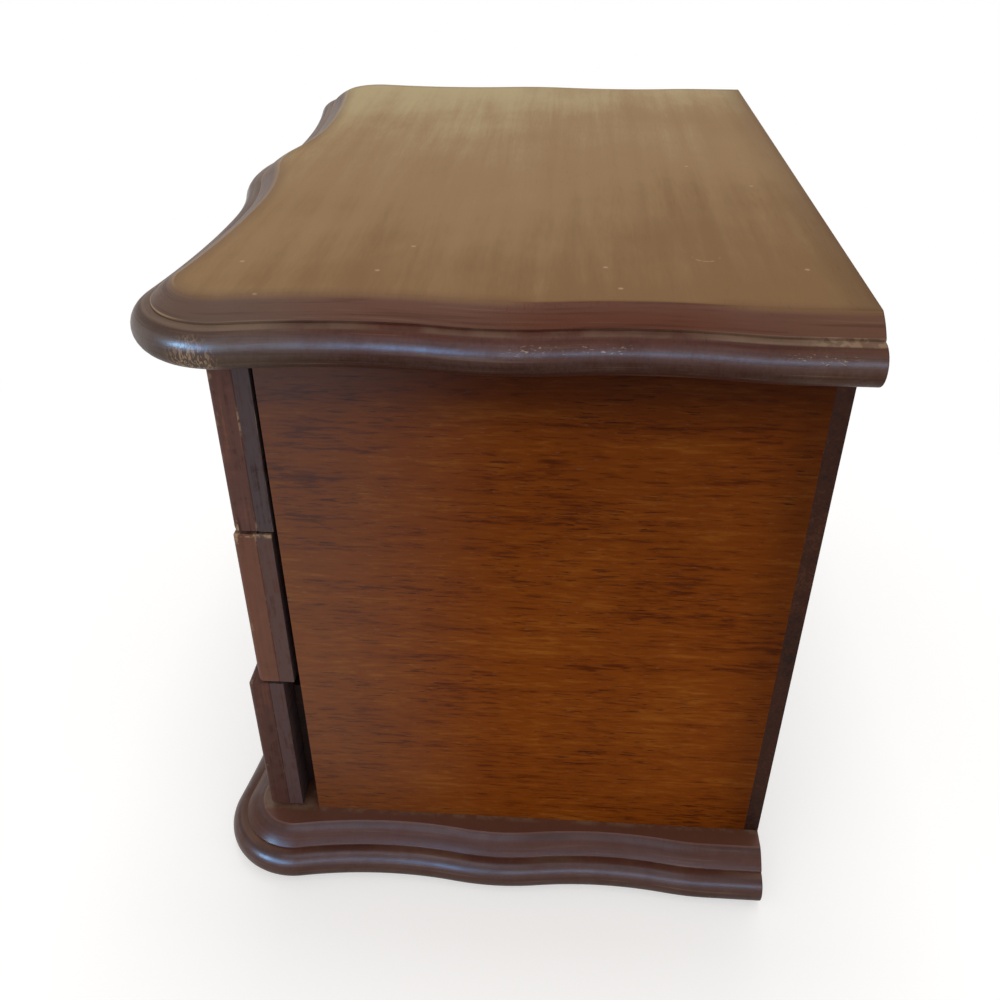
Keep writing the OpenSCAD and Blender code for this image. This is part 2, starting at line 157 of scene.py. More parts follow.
class FrontSizes(bpy.types.PropertyGroup):
    """Rounding and border groove of a drawer's face board."""

    arris_r: length("Arris radius", "Radius of the rounded front edges", 2)
    border_in: length("Border place", "Distance from the edge to the middle of the border groove", 5.2)
    border_r: length("Border radius", "Radius of the cutter of the border groove", 2.6)
    border_depth: length("Border depth", "Depth of the border groove", 1.3)
    rear_ease: length("Rear easing", "Easing of the rear edges of a face board", 0.5)


class EasingSizes(bpy.types.PropertyGroup):
    """How much the edges of the plain boards are eased."""

    case: length("Case", "Easing of the side panels and the back", 0.5)
    backing: length("Backing", "Easing of the boards behind the drawer faces", 0.7)
    inside: length("Inside", "Easing of the drawer boxes, shelves and dividers", 0.35)


class KnobSizes(bpy.types.PropertyGroup):
    """Section of a turned knob."""

    rim: length("Rim", "Radius of the round rim of the head", 3)
    dome: length("Dome", "How far the middle of the face stands past the rim", 1.5)
    foot_d: length("Foot", "Diameter of the foot", 13)
    foot_t: length("Foot thickness", "Thickness of the foot", 2.2)
    foot_chamfer: length("Foot chamfer", "Chamfer round the seat of the foot", 0.4)
    neck_d: length("Neck", "Diameter of the neck at its narrowest", 8)


class FastenerSizes(bpy.types.PropertyGroup):
    """Screws and brads."""

    knob_screw_d: length("Knob screw", "Diameter of a knob screw's shank", 3.5)
    base_screw_d: length("Base screw", "Diameter of a base screw's shank", 4)
    base_head_d: length("Base screw head", "Diameter of a countersunk head", 8)
    base_sunk: length("Base screw depth", "How far a countersunk face lies inside the underside", 0.15)
    brad_d: length("Brad", "Diameter of a brad's shank", 1.8)
    brad_head_d: length("Brad head", "Diameter of a brad's head", 3.6)
    brad_head_t: length("Brad head thickness", "Thickness of a brad's head", 0.8)
    brad_sunk: length("Brad depth", "How far a brad's face lies inside its CAD box", 0.12)
    brad_round: length("Brad rounding", "Rounding of a brad's head", 0.3)
    brad_rows: IntProperty(
        name="Brad rows", description="Brads along one side panel", default=4, min=2, subtype="UNSIGNED"
    )
    drive_w: length("Drive width", "Width of an arm of the cross recess", 0.9)
    drive_depth: length("Drive depth", "Depth of the cross recess", 1.1)
    drive_wall: length("Drive wall", "How far the cross recess narrows to its floor", 0.12)


class LiningSizes(bpy.types.PropertyGroup):
    """Velvet pads and ring rolls."""

    pad_rim: length("Pad rim", "Thickness of a pad at its rim", 2.4)
    pad_draw: length("Pad draw", "How far a pad's sides draw in between its corners", 0.8)
    pad_round: length("Pad rounding", "Rounding of a pad's upper rim", 1.1)
    pad_cell: length("Pad cell", "Size of a cell of a pad's upper face", 4)
    rumple: length("Rumple", "Height of the soft unevenness of the velvet", 0.22)
    rumple_size: length("Rumple size", "Size of the soft unevenness of the velvet", 24)
    roll_d: length("Roll", "Diameter of a ring roll", 21)
    roll_end: length("Roll end", "Radius of the rounded end of a ring roll", 6)
    roll_base: length("Roll board", "Thickness of the board under the rolls", 3)
    roll_board_ease: length("Roll board easing", "Easing of the board under the rolls", 0.8)
    roll_count: IntProperty(
        name="Rolls", description="Number of ring rolls", default=7, min=1, subtype="UNSIGNED"
    )


class Colours(bpy.types.PropertyGroup):
    """Stains, velvet and metal."""

    stain_deep: paint("Deep stain", "Darkest streaks of the mahogany stain", 84, 34, 3)
    stain: paint("Stain", "Body of the mahogany stain", 122, 58, 7)
    stain_pale: paint("Pale stain", "Palest streaks of the mahogany stain", 142, 78, 20)
    # These three tones are the top's tan, a painted sheen: reflection at a low angle painted over the stain
    sheened_deep: paint("Deep faded stain", "Darkest streaks of the sun-faded top", 122, 91, 57)
    sheened: paint("Faded stain", "Body of the sun-faded top", 140, 110, 75)
    sheened_pale: paint("Pale faded stain", "Palest streaks of the sun-faded top", 167, 148, 110)
    dark_deep: paint("Deep dark stain", "Darkest streaks of the dark stain", 56, 28, 19)
    dark: paint("Dark stain", "Body of the dark stain", 75, 42, 30)
    dark_pale: paint("Pale dark stain", "Palest streaks of the dark stain", 90, 55, 41)
    front_deep: paint("Deep front stain", "Darkest streaks of the stain on the drawer faces", 62, 34, 26)
    front: paint("Front stain", "Body of the stain on the drawer faces", 94, 64, 57)
    front_pale: paint("Pale front stain", "Palest streaks of the stain on the drawer faces", 122, 80, 62)
    dull: paint("Dull stain", "Body of the stain on the boards behind the drawer faces", 80, 67, 67)
    brown_deep: paint("Deep brown stain", "Darkest streaks of the stain on the back", 34, 18, 11)
    brown: paint("Brown stain", "Body of the stain on the back", 54, 27, 13)
    brown_pale: paint("Pale brown stain", "Palest streaks of the stain on the back", 72, 41, 23)
    # The inner stain is very dark, partly as painted shade that makes the gaps behind the drawer faces read
    # black
    inner_deep: paint("Deep inner stain", "Darkest streaks of the stain inside", 22, 12, 8)
    inner: paint("Inner stain", "Body of the stain inside", 38, 20, 12)
    inner_pale: paint("Pale inner stain", "Palest streaks of the stain inside", 56, 32, 19)
    # Partly painted light: lightens the ovolo of the top as if lit from above
    ovolo: paint("Ovolo", "Rubbed stain on the ovolo of the top", 104, 71, 56)
    # Dust also paints light over the shade in the steps of the mouldings
    dust: paint("Dust", "Dust and old wax in the step of a moulding", 130, 108, 88)
    film: paint("Film", "Grey film of old wax at the front of the top's edge", 98, 86, 76)
    worn: paint("Worn edge", "Wood that shows where the lacquer is rubbed off", 168, 140, 112)
    velvet: paint("Velvet", "Pile of the velvet", 104, 14, 28)
    velvet_nap: paint("Velvet nap", "Pile brushed the other way", 134, 26, 42)
    metal: paint("Metal", "Passivated steel", 205, 190, 150)


class StageLevels(bpy.types.PropertyGroup):
    """Camera, light and floor."""

    eye: FloatVectorProperty(
        name="Eye", description="Place of the camera", default=(0.4108, 0.0228, 0.3591), unit="LENGTH"
    )
    yaw: angle("Yaw", "Turn of the view from -X towards -Y", 0.0654)
    pitch: angle("Pitch", "Tilt of the view below the horizon", 0.5865)
    lens: FloatProperty(name="Lens", description="Focal length on the sensor", default=35.46, unit="CAMERA")
    sensor: FloatProperty(name="Sensor", description="Width of the sensor", default=36.0, unit="CAMERA")
    ambient: FloatProperty(
        name="Ambient",
        description="Strength of the light from all round",
        default=0.6,
        min=0.0,
        max=1.0,
        subtype="FACTOR",
    )
    floor_r: length("Floor radius", "Radius of the round floor", 8000)
    floor_drop: length("Floor drop", "How far the floor lies below the base", 0.3)
    window: power("Window", "Power of the cool glint on the near side", 30.0)
    pane: power("Pane", "Power of the brighter glint on the corner", 12.0)
    side: power("Side", "Power of the faint glint towards the back", 5.0)
    sky: power("Sky", "Power of the cool glint from above", 2.5)
    ceiling: power("Ceiling", "Power of the light overhead", 4.5)
    room: power("Room", "Power of the wide light beside the camera", 9.0)


GROUPS = {
    "box_moulding": MouldingSizes,
    "box_front": FrontSizes,
    "box_easing": EasingSizes,
    "box_knob": KnobSizes,
    "box_fastener": FastenerSizes,
    "box_lining": LiningSizes,
    "box_colours": Colours,
    "box_stage": StageLevels,
}


class Wire:
    """A shader socket whose arithmetic adds Math nodes to its tree."""

    def __init__(self, tree, socket):
        self.tree = tree
        self.socket = socket

    def math(self, operation, first, second):
        node = self.tree.nodes.new("ShaderNodeMath")
        node.operation = operation
        plug(self.tree, node.inputs[0], first)
        plug(self.tree, node.inputs[1], second)
        return Wire(self.tree, node.outputs[0])

    def __add__(self, other):
        return self.math("ADD", self, other)

    def __sub__(self, other):
        return self.math("SUBTRACT", self, other)

    def __rsub__(self, other):
        return self.math("SUBTRACT", other, self)

    def __mul__(self, other):
        return self.math("MULTIPLY", self, other)

    def __or__(self, other):
        return self.math("MAXIMUM", self, other)

    __radd__ = __add__
    __rmul__ = __mul__
    __ror__ = __or__


def plug(tree, socket, value):
    """Links a wire to a socket, or sets the socket's own value; a colour gets its alpha."""
    if isinstance(value, Wire):
        tree.links.new(value.socket, socket)
    elif socket.type == "RGBA":
        socket.default_value = (*value[:3], 1.0)
    else:
        socket.default_value = value


class Finish:
    """One procedural material, with short ways to add its nodes."""

    def __init__(self, name, **constants):
        self.material = bpy.data.materials.new(name)
        self.material.use_nodes = True
        self.tree = self.material.node_tree
        self.shader = self.tree.nodes["Principled BSDF"]
        for socket, value in constants.items():
            self.feed(socket.replace("_", " "), value)
        self.place = self.add("ShaderNodeTexCoord", output="Object")
        parts = self.tree.nodes.new("ShaderNodeSeparateXYZ")
        plug(self.tree, parts.inputs[0], self.place)
        self.x, self.y, self.z = (Wire(self.tree, socket) for socket in parts.outputs)

    def add(self, kind, settings=None, inputs=None, output=0):
        """Adds a node, sets it up, feeds its sockets and returns one of its outputs."""
        node = self.tree.nodes.new(kind)
        for key, value in (settings or {}).items():
            setattr(node, key, value)
        for key, value in (inputs or {}).items():
            plug(self.tree, node.inputs[key], value)
        return Wire(self.tree, node.outputs[output])

    def feed(self, socket, value):
        plug(self.tree, self.shader.inputs[socket], value)

    def mark(self, name):
        """An attribute that the mesh carries."""
        return self.add("ShaderNodeAttribute", {"attribute_name": name}, output="Fac")

    def rise(self, wire, low, high):
        """A smooth step from 0 below low to 1 above high; low above high makes it fall."""
        low_in, high_in, first, last = (low, high, 0.0, 1.0) if low < high else (high, low, 1.0, 0.0)
        inputs = {"Value": wire, "From Min": low_in, "From Max": high_in, "To Min": first, "To Max": last}
        return self.add("ShaderNodeMapRange", {"interpolation_type": "SMOOTHSTEP"}, inputs)

    def band(self, wire, low, high, soft):
        """1 between low and high, falling to 0 over soft on both sides."""
        return self.rise(wire, low - soft, low) * self.rise(wire, high + soft, high)

    def gap(self, place):
        """Distance from a place."""
        return self.add("ShaderNodeVectorMath", {"operation": "DISTANCE"}, {0: self.place, 1: place}, "Value")

    def near(self, place, radius):
        """1 within about a third of a radius from a place, falling to 0 at the radius."""
        return self.rise(self.gap(place), radius, radius * 0.35)

    def mottle(self, size, detail=3.0, shift=0.0):
        """Even noise with features of one size."""
        spot = self.add("ShaderNodeMapping", inputs={"Vector": self.place, "Location": (shift, shift, shift)})
        inputs = {"Vector": spot, "Scale": 1 / size, "Detail": detail, "Roughness": 0.55}
        return self.add("ShaderNodeTexNoise", inputs=inputs, output="Fac")

    def fibre(self, grain, along, across, detail=3.0, bend=0.0, shift=0.0):
        """Noise drawn out along the grain axis."""
        scale = [1 / across] * 3
        scale[grain] = 1 / along
        inputs = {"Vector": self.place, "Location": (shift, shift, shift), "Scale": scale}
        spot = self.add("ShaderNodeMapping", inputs=inputs)
        inputs = {"Vector": spot, "Scale": 1.0, "Detail": detail, "Roughness": 0.55, "Distortion": bend}
        return self.add("ShaderNodeTexNoise", inputs=inputs, output="Fac")

    def mix(self, first, second, share, blend="MIX"):
        """Two colours mixed by a share, which may be a wire."""
        settings = {"data_type": "RGBA", "blend_type": blend, "clamp_factor": True}
        return self.add("ShaderNodeMix", settings, {0: share, 6: first, 7: second}, 2)

    def bump(self, height, distance):
        """Feeds a height, as a share of a distance, to the shader's normal."""
        inputs = {"Height": height, "Distance": distance, "Strength": 1.0}
        self.feed("Normal", self.add("ShaderNodeBump", inputs=inputs))


class Wood(Finish):
    """Stained wood: streaks, fine fibre and open pores along one grain axis."""

    def __init__(self, name, tones, grain, pores=0.7, **constants):
        super().__init__(name, **constants)
        self.end = self.mark("end_grain")
        rings = self.fibre(Z, 40 * MM, 1.3 * MM, 3.0, 0.3, 6.1)
        self.fine = self.fibre(grain, 9 * MM, 1.1 * MM, 3.0, 0.4, 3.1) * (1 - self.end) + rings * self.end
        streak = self.fibre(grain, 110 * MM, 5 * MM, 4.0, 0.6)
        cloud = self.mottle(45 * MM, 3.0, 1.7)
        self.tone = streak * 0.3 + self.fine * 0.4 + cloud * 0.3
        dashes = self.rise(self.fibre(grain, 9 * MM, 0.7 * MM, 2.0, 0.5, 5.3), 0.60, 0.68)
        patches = self.rise(self.fibre(grain, 60 * MM, 14 * MM, 2.0, 0.0, 7.9), 0.40, 0.60)
        self.pores = dashes * patches * (1 - self.end)
        self.colour = self.stain(tones, pores)

    def stain(self, tones, pores):
        """One stain over this grain, with its pores inked."""
        deep, body, pale = tones
        colour = self.mix(deep, body, self.rise(self.tone, 0.36, 0.50))
        colour = self.mix(colour, pale, self.rise(self.tone, 0.50, 0.66))
        return self.mix(colour, darker(deep, 0.3), self.pores * pores)

    def cover(self, share, colour):
        """Mixes another colour in by a share."""
        self.colour = self.mix(self.colour, colour, share)

    def shade(self, share, tint):
        """Multiplies the stain by a tint, by a share."""
        self.colour = self.mix(self.colour, tint, share, "MULTIPLY")

    def done(self, roughness, depth):
        """Feeds the colour, a roughness that follows the fibre, and the bump of the pores."""
        self.feed("Base Color", self.colour)
        self.feed("Roughness", self.fine * 0.16 + self.pores * 0.1 + (roughness - 0.08))
        self.bump(self.fine * 0.25 - self.pores, depth)
        return self.material


def darker(colour, share):
    return [share * value for value in colour]


def stain_tones(colours, stain):
    """The deep, body and pale tones of a stain."""
    return [getattr(colours, name) for name in (f"{stain}_deep", stain, f"{stain}_pale")]


def mm(*values):
    """Lengths in millimetres, as a tuple in metres."""
    return tuple(value * MM for value in values)


# Places of wear, as the photograph shows them
CHIPPED_CORNER = mm(161.5, -81, 236.5)
CHIPPED_JOINT = (mm(140, 106.5, 124.5), mm(140, 106.5, 31))
CHIPPED_FRONT = (mm(140, -84, 160.7), mm(140, -77, 160.7), mm(140, -77, 205))
# On the nose these places carry pale wear that also paints sparkles of the glint
RUBBED_AND_GLINTING_NOSE = [mm(163, y, 243) for y in (16, 35, 95)]
RUBBED_STEP = mm(156, 104, 246)
SPECKS = (
    mm(4, 71),
    mm(30, 93),
    mm(105, -25),
    mm(127, -33),
    mm(148, -65),
    mm(122, -76),
    mm(118, 97),
    mm(120, 36),
    mm(137, 40),
)
SPECK_R = 1.1 * MM
SCRATCH = mm(108.5, 67.5)
SCRATCH_R = mm(4.2, 4.4)

# Stretches along Y of the top's edge
RUDDY_RISE = mm(-20, 15)
RUDDY_STRETCH = mm(20, 55)
# Stretch where the step keeps its shade, without dust or painted light
SHADED_STEP_STRETCH = mm(-50, 55)
CRISP_STRETCH = mm(20, 62)
DUSTY_BACK = mm(75, 100)

# Tints that darken a stain: painted shade, a painted cool sheen for the panel's front, and grime
HALF = (0.5, 0.5, 0.5)
SHADOW = (0.55, 0.55, 0.55)
OVERHANG_SHADE = (0.56, 0.52, 0.56)
SMEAR = (0.60, 0.54, 0.52)
PAINTED_COOL_SHEEN = (0.76, 0.92, 0.95)


def arris_wear(wood, colours, amount, chipped=()):
    """Rubs the eased edges of a board here and there, and fully at chipped places."""
    rub = wood.rise(wood.mottle(6 * MM, 5.0, 2.3), 0.56, 0.68) * amount
    grit = wood.rise(wood.mottle(2 * MM, 3.0, 4.7), 0.40, 0.55)
    for spot in chipped:
        rub = rub | wood.near(spot, 7 * MM) * grit * 0.9
    wood.cover(wood.mark("arris") * rub, colours.worn)


def panel_wood(colours):
    """Side panels: open mahogany grain from front to back, polished in front with a painted cool sheen,
    painted shade under the top's overhang and towards the top, darker along the back edge.
    """
    lo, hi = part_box("side_panel_right")
    tones = stain_tones(colours, "stain")
    wood = Wood("side_panel_wood", tones, Y, 0.65, Specular_IOR_Level=0.03, Coat_Roughness=0.45)
    flecks = wood.rise(wood.fibre(Y, 4 * MM, 0.6 * MM, 2.0, 0.4, 8.7), 0.64, 0.72)
    wood.cover(flecks * 0.12, colours.worn)
    front = wood.rise(wood.y, hi.y - 90 * MM, lo.y)
    # Painted shade: darker under the top's overhang and towards the top; also darker along the back edge
    below_top = wood.rise(wood.z, hi.z - 35 * MM, hi.z)
    by_back = wood.rise(wood.y, hi.y - 20 * MM, hi.y)
    upper = wood.rise(wood.z, lo.z + 70 * MM, hi.z)
    wood.shade((below_top | by_back) * 0.7 + upper * 0.5, HALF)
    # Painted shadow under the top's overhang, weaker at the front
    overhang_shadow = wood.rise(wood.z, hi.z - 34 * MM, hi.z - 8 * MM) * (1 - front * 0.75)
    wood.shade(overhang_shadow, OVERHANG_SHADE)
    # Painted sheen: the front part is cooler and greyer, standing in for the reflection in its lacquer
    wood.shade(front * 0.8, PAINTED_COOL_SHEEN)
    arris_wear(wood, colours, 0.4, CHIPPED_JOINT)
    wood.feed("Coat Weight", front * 0.45)
    return wood.done(0.5, 0.12 * MM)


def moulded_wood(name, node, colours, moulding, dust):
    """Moulded edge: glossy nose, painted shade under the nose, and dust in the step that also paints light
    over the step's shade.
    """
    lo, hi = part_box(node)
    wood = Wood(name, stain_tones(colours, "dark"), X, 0.2, Specular_IOR_Level=0.06, Coat_Roughness=0.3)
    wood.step_z = lo.z + 2 * moulding.nose_r
    wood.cover(0.55, colours.dark)
    wood.rub = wood.rise(wood.mottle(6 * MM, 5.0, 4.1), 0.44, 0.62)
    wood.fleck = wood.rise(wood.fibre(Z, 2.6 * MM, 0.7 * MM, 3.0, 0.8, 6.7), 0.49, 0.57)
    wood.nose = wood.rise(wood.z, wood.step_z - 0.3 * MM, wood.step_z - 1.5 * MM)
    wood.step = wood.band(wood.z, wood.step_z - 0.4 * MM, wood.step_z + moulding.step_h, 0.3 * MM)
    wood.sides = wood.rise(wood.y, hi.y - 0.1 * MM, hi.y - 0.6 * MM)
    # Dust in the step, which also paints light over the step's shade
    patch = wood.rise(wood.mottle(28 * MM, 3.0, 5.5), 0.42, 0.60)
    wood.cover(wood.step * wood.sides * patch * dust, colours.dust)
    # Painted shade: the underside of the nose is darker; the same mask takes some gloss off it
    under = wood.rise(wood.z, lo.z + 1.3 * moulding.nose_r, lo.z + 0.6 * moulding.nose_r)
    wood.shade(under * 0.8, SHADOW)
    wood.polish = (1 - under) * 0.4 + 0.12
    return wood


def streak_moulding(wood, colours, share):
    """Draws faint dark and dusty lines along a moulding, as a cloth leaves them."""
    lines = wood.fibre(Z, 0.9 * MM, 45 * MM, 3.0, 0.0, 2.7)
    wood.shade(wood.rise(lines, 0.50, 0.36) * share, SMEAR)
    wood.cover(wood.rise(lines, 0.58, 0.72) * share * 0.4, colours.dust)


def top_wood(colours, moulding):
    """Top: satin flat with a tan painted sheen over a dark edge, chipped where hands and knocks reach it."""
    lo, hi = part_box("top_board")
    wood = moulded_wood("top_board_wood", "top_board", colours, moulding, 0.25)
    ragged = wood.rise(wood.mottle(3.2 * MM, 4.0, 3.3), 0.45, 0.56)
    stain_top_edge(wood, colours, lo)
    flat = sheen_flat(wood, colours, hi)
    wear_top_edge(wood, colours, lo, hi, ragged)
    mark_flat(wood, colours, flat, hi, ragged)
    shine = wood.rise(wood.z, wood.step_z - 0.8 * MM, wood.step_z - 3.2 * MM)
    wood.feed("Coat Weight", shine * (wood.polish - wood.rub * 0.12 - wood.fleck * 0.1))
    return wood.done(flat * 0.22 + 0.42, 0.04 * MM)


def stain_top_edge(wood, colours, lo):
    """Ovolo lightened with painted light and made ruddy, a grey film at the front, and dust in the step,
    where it also paints light over the shade, and towards the back.
    """
    # Painted light: the ovolo is lightened as if lit from above
    ovolo = wood.rise(wood.z, wood.step_z + 0.3 * MM, wood.step_z + 1.0 * MM) * wood.sides
    wood.cover(ovolo * 0.75, colours.ovolo)
    ruddy = wood.rise(wood.y, *RUDDY_RISE) * 0.2 + wood.band(wood.y, *RUDDY_STRETCH, 25 * MM) * 0.3
    wood.cover(ovolo * ruddy, colours.stain_deep)
    front = wood.rise(wood.y, lo.y + 80 * MM, lo.y + 30 * MM)
    wood.cover(front * 0.5, colours.film)
    # Dust in the step, which also paints light over the step's shade, except in the stretch where the step
    # keeps its dark line
    dust_and_painted_light = 1 - wood.band(wood.y, *SHADED_STEP_STRETCH, 15 * MM)
    wood.cover(wood.step * wood.sides * dust_and_painted_light * 0.35, colours.dust)
    wood.cover(wood.sides * wood.rise(wood.y, *DUSTY_BACK) * 0.12, colours.dust)
    streak_moulding(wood, colours, wood.sides * 0.6)


def sheen_flat(wood, colours, hi):
    """Paints the flat a tan painted sheen in soft streaks, lighter towards -X and the front, with a crisp
    edge in one stretch and a loose one elsewhere.
    """
    flat = wood.rise(wood.z, hi.z - 0.4 * MM, hi.z - 0.1 * MM)
    loose = 1 - wood.band(wood.y, *CRISP_STRETCH, 14 * MM)
    streak = wood.fibre(X, 160 * MM, 7 * MM, 4.0, 0.4, 2.2)
    # Painted reflection: the flat's tone gets lighter towards -X and the front
    sheen_slope = wood.x * 1.6 + wood.y * 0.8
    cloud = wood.mottle(70 * MM, 4.0, 9.2) * 0.4 + streak * 0.3 + wood.fine * 0.15 - sheen_slope
    deep, body, pale = stain_tones(colours, "sheened")
    sheened = wood.mix(deep, body, wood.rise(cloud, 0.14, 0.42))
    sheened = wood.mix(sheened, pale, wood.rise(cloud, 0.40, 0.76))
    blend = wood.rise(wood.z, hi.z - 1.4 * MM, hi.z) * wood.sides * loose * 0.65
    wood.cover(flat * (1 - wood.mark("rim") * loose * 0.35) | blend, sheened)
    wood.shade(flat * wood.rise(wood.y, hi.y - 16 * MM, hi.y - 2 * MM) * 0.5, SHADOW)
    return flat


def wear_top_edge(wood, colours, lo, hi, ragged):
    """Pale lines round the front corners, chipped wear on the corner and the step, and pale flecks on the
    nose that are partly wear and partly painted sparkles of the glint.
    """
    corner = wood.rise(wood.y, lo.y + 27 * MM, lo.y + 15 * MM)
    ridge = wood.band(wood.z, hi.z - 0.30 * MM, hi.z - 0.12 * MM, 0.1 * MM)
    ridge = ridge * wood.rise(wood.y, lo.y + 20 * MM, lo.y + 12 * MM)
    arris = wood.band(wood.z, wood.step_z + 0.40 * MM, wood.step_z + 0.80 * MM, 0.2 * MM)
    wood.cover(ridge * 0.5 | arris * corner * 0.7, colours.worn)
    wood.cover(wood.near(CHIPPED_CORNER, 10 * MM) * wood.fleck * wood.nose * 0.75, colours.worn)
    # Pale wear on the nose that also paints sparkles of the glint along its crown
    glint_chips = wood.rise(wood.fibre(Y, 1.6 * MM, 0.5 * MM, 3.0, 0.5, 6.7), 0.59, 0.67)
    crown = wood.band(wood.z, wood.step_z - 4.2 * MM, wood.step_z - 2.4 * MM, 0.8 * MM)
    for spot in RUBBED_AND_GLINTING_NOSE:
        wood.cover(wood.near(spot, 12 * MM) * glint_chips * crown * 0.65, colours.worn)
    wood.cover(wood.near(RUBBED_STEP, 17 * MM) * wood.step * ragged * 0.3, colours.worn)


def mark_flat(wood, colours, flat, hi, ragged):
    """Small pale specks and one curved scratch on the flat."""
    specks = 0.0
    for spot in SPECKS:
        specks = wood.near((*spot, hi.z), SPECK_R) | specks
    wood.cover(specks * flat * 0.75, colours.worn)
    line = wood.band(wood.gap((*SCRATCH, hi.z)), *SCRATCH_R, 0.3 * MM)
    line = line * wood.rise(wood.x, SCRATCH[X], SCRATCH[X] + 1.5 * MM)
    wood.cover(line * flat * ragged * 0.7, colours.worn)


def base_wood(colours, moulding):
    """Base: dark and polished, with painted light on its flat that is ruddy as a painted reflection of the
    panel, and dust along the foot of the case.
    """
    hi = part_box("base_board")[1]
    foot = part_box("side_panel_right")[1].x
    wood = moulded_wood("base_board_wood", "base_board", colours, moulding, 0.2)
    flat = wood.rise(wood.z, hi.z - 0.4 * MM, hi.z - 0.1 * MM)
    streak_moulding(wood, colours, (1 - flat) * wood.sides * 0.6)
    dull = wood.band(wood.z, wood.step_z, hi.z - 1.8 * MM, 0.6 * MM)
    # Painted light: the flat gets the pale front stain over its shade, ruddy as a painted reflection of the
    # side panel; the lower ovolo band gets a little of it as its colour
    wood.cover(flat * 0.5 | dull * 0.15, colours.front_pale)
    swept = wood.rise(wood.x | wood.x * -1, foot + 3 * MM, foot + 0.8 * MM)
    wood.cover(flat * swept * wood.rub * 0.5, colours.dust)
    wood.feed("Coat Weight", (wood.polish - wood.rub * 0.1) * (1 - dull * 0.5))
    return wood.done(0.4, 0.04 * MM)


def stained_wood(name, tones, grain, colours, roughness):
    """Small stained boards, rubbed along their eased edges."""
    wood = Wood(name, tones, grain, 0.4, Specular_IOR_Level=0.08)
    arris_wear(wood, colours, 0.35)
    return wood.done(roughness, 0.08 * MM)


def front_wood(name, tones, colours, roughness, light_and_shade_casts):
    """Boards of the drawer fronts: painted light and shade on the ends of each drawer's board, and a bare
    upper end on the middle one.
    """
    wood = Wood(name, tones, X, 0.4, Specular_IOR_Level=0.08)
    # Painted light and shade on the ends of each drawer's board
    for drawer, (colour, share) in zip(DRAWERS, light_and_shade_casts):
        lo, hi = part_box(f"{drawer}_face")
        light_and_shade_cast = wood.band(wood.z, lo.z, hi.z, 0.5 * MM) * (wood.end * 0.75 + 0.25)
        wood.cover(light_and_shade_cast * share, colour)
    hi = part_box("drawer_middle_face")[1]
    lip = wood.band(wood.z, hi.z - 0.9 * MM, hi.z + 0.2 * MM, 0.8 * MM)
    end = wood.rise(wood.x, hi.x - 1.8 * MM, hi.x - 0.3 * MM)
    grit = wood.rise(wood.mottle(2.4 * MM, 4.0, 4.7), 0.40, 0.55)
    wood.cover(lip * end * grit * 0.85, colours.worn)
    arris_wear(wood, colours, 0.35, CHIPPED_FRONT)
    return wood.done(roughness, 0.08 * MM)


def inner_wood(colours, grain):
    """Dark wood of the drawer boxes, shelves and dividers, dark partly as painted shade in the gaps behind
    the drawer faces.
    """
    tones = stain_tones(colours, "inner")
    wood = Wood("inner_wood_" + "xyz"[grain], tones, grain, 0.35, Specular_IOR_Level=0.15)
    return wood.done(0.58, 0.08 * MM)


def velvet(colours):
    """Short pile whose nap lies in soft patches."""
    glow = [min(1.0, 4 * value) for value in colours.velvet_nap]
    cloth = Finish("velvet", Sheen_Weight=0.8, Sheen_Roughness=0.35, Sheen_Tint=glow, Specular_IOR_Level=0.1)
    nap = cloth.rise(cloth.mottle(28 * MM, 3.0), 0.4, 0.66)
    pile = cloth.mottle(0.5 * MM, 2.0, 2.9)
    colour = cloth.mix(colours.velvet, colours.velvet_nap, nap)
    roots = cloth.rise(pile, 0.55, 0.4)
    cloth.feed("Base Color", cloth.mix(colour, (0.4, 0.4, 0.4), roots, "MULTIPLY"))
    cloth.feed("Roughness", pile * 0.1 + 0.85)
    cloth.bump(pile, 0.25 * MM)
    return cloth.material


def steel(colours):
    """Passivated steel with a fine even bump and a few dull spots."""
    metal = Finish("steel", Metallic=1.0)
    spots = metal.rise(metal.mottle(1.6 * MM, 4.0), 0.5, 0.68)
    metal.feed("Base Color", metal.mix(colours.metal, darker(colours.metal, 0.5), spots))
    metal.feed("Roughness", spots * 0.25 + 0.3)
    metal.bump(metal.mottle(0.4 * MM, 2.0), 0.02 * MM)
    return metal.material


FINISHES = {}


def finish(key, make, *values):
    """The finish under a key, made the first time it is asked for."""
    if key not in FINISHES:
        FINISHES[key] = make(*values)
    return FINISHES[key]


def of_kind(geom, kind):
    """The vertices, edges or faces among the results of a bmesh operator."""
    return [item for item in geom if isinstance(item, kind)]


def mark_ends(bm, grain):
    """Marks the faces that cut across the grain."""
    layer = bm.faces.layers.float.new("end_grain")
    bm.normal_update()
    for face in bm.faces:
        face[layer] = float(abs(face.normal[grain]) > CROSSING)


def place(bm, name, material, *nodes):
    """Makes a piece of a bmesh that stands for CAD nodes and rides on their body."""
    mesh = bpy.data.meshes.new(name)
    bm.to_mesh(mesh)
    bm.free()
    for leftover in ("custom_normal", "material_index"):
        if leftover in mesh.attributes:
            mesh.attributes.remove(mesh.attributes[leftover])
    mesh.materials.append(material)
    piece = bpy.data.objects.new(name, mesh)
    bpy.context.scene.collection.objects.link(piece)
    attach(piece, frame["nodes"][nodes[0]]["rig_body"])
    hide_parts(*nodes)
    return piece


def ease(bm, edges, width, segments=3):
    """Rounds edges and marks the new faces for wear."""
    arris = bm.faces.layers.float.get("arris") or bm.faces.layers.float.new("arris")
    made = bmesh.ops.bevel(
        bm,
        geom=edges,
        offset=width,
        offset_type="OFFSET",
        segments=segments,
        profile=0.5,
        affect="EDGES",
        material=-1,
        clamp_overlap=True,
    )
    for face in made["faces"]:
        face[arris] = 1.0
        face.smooth = True


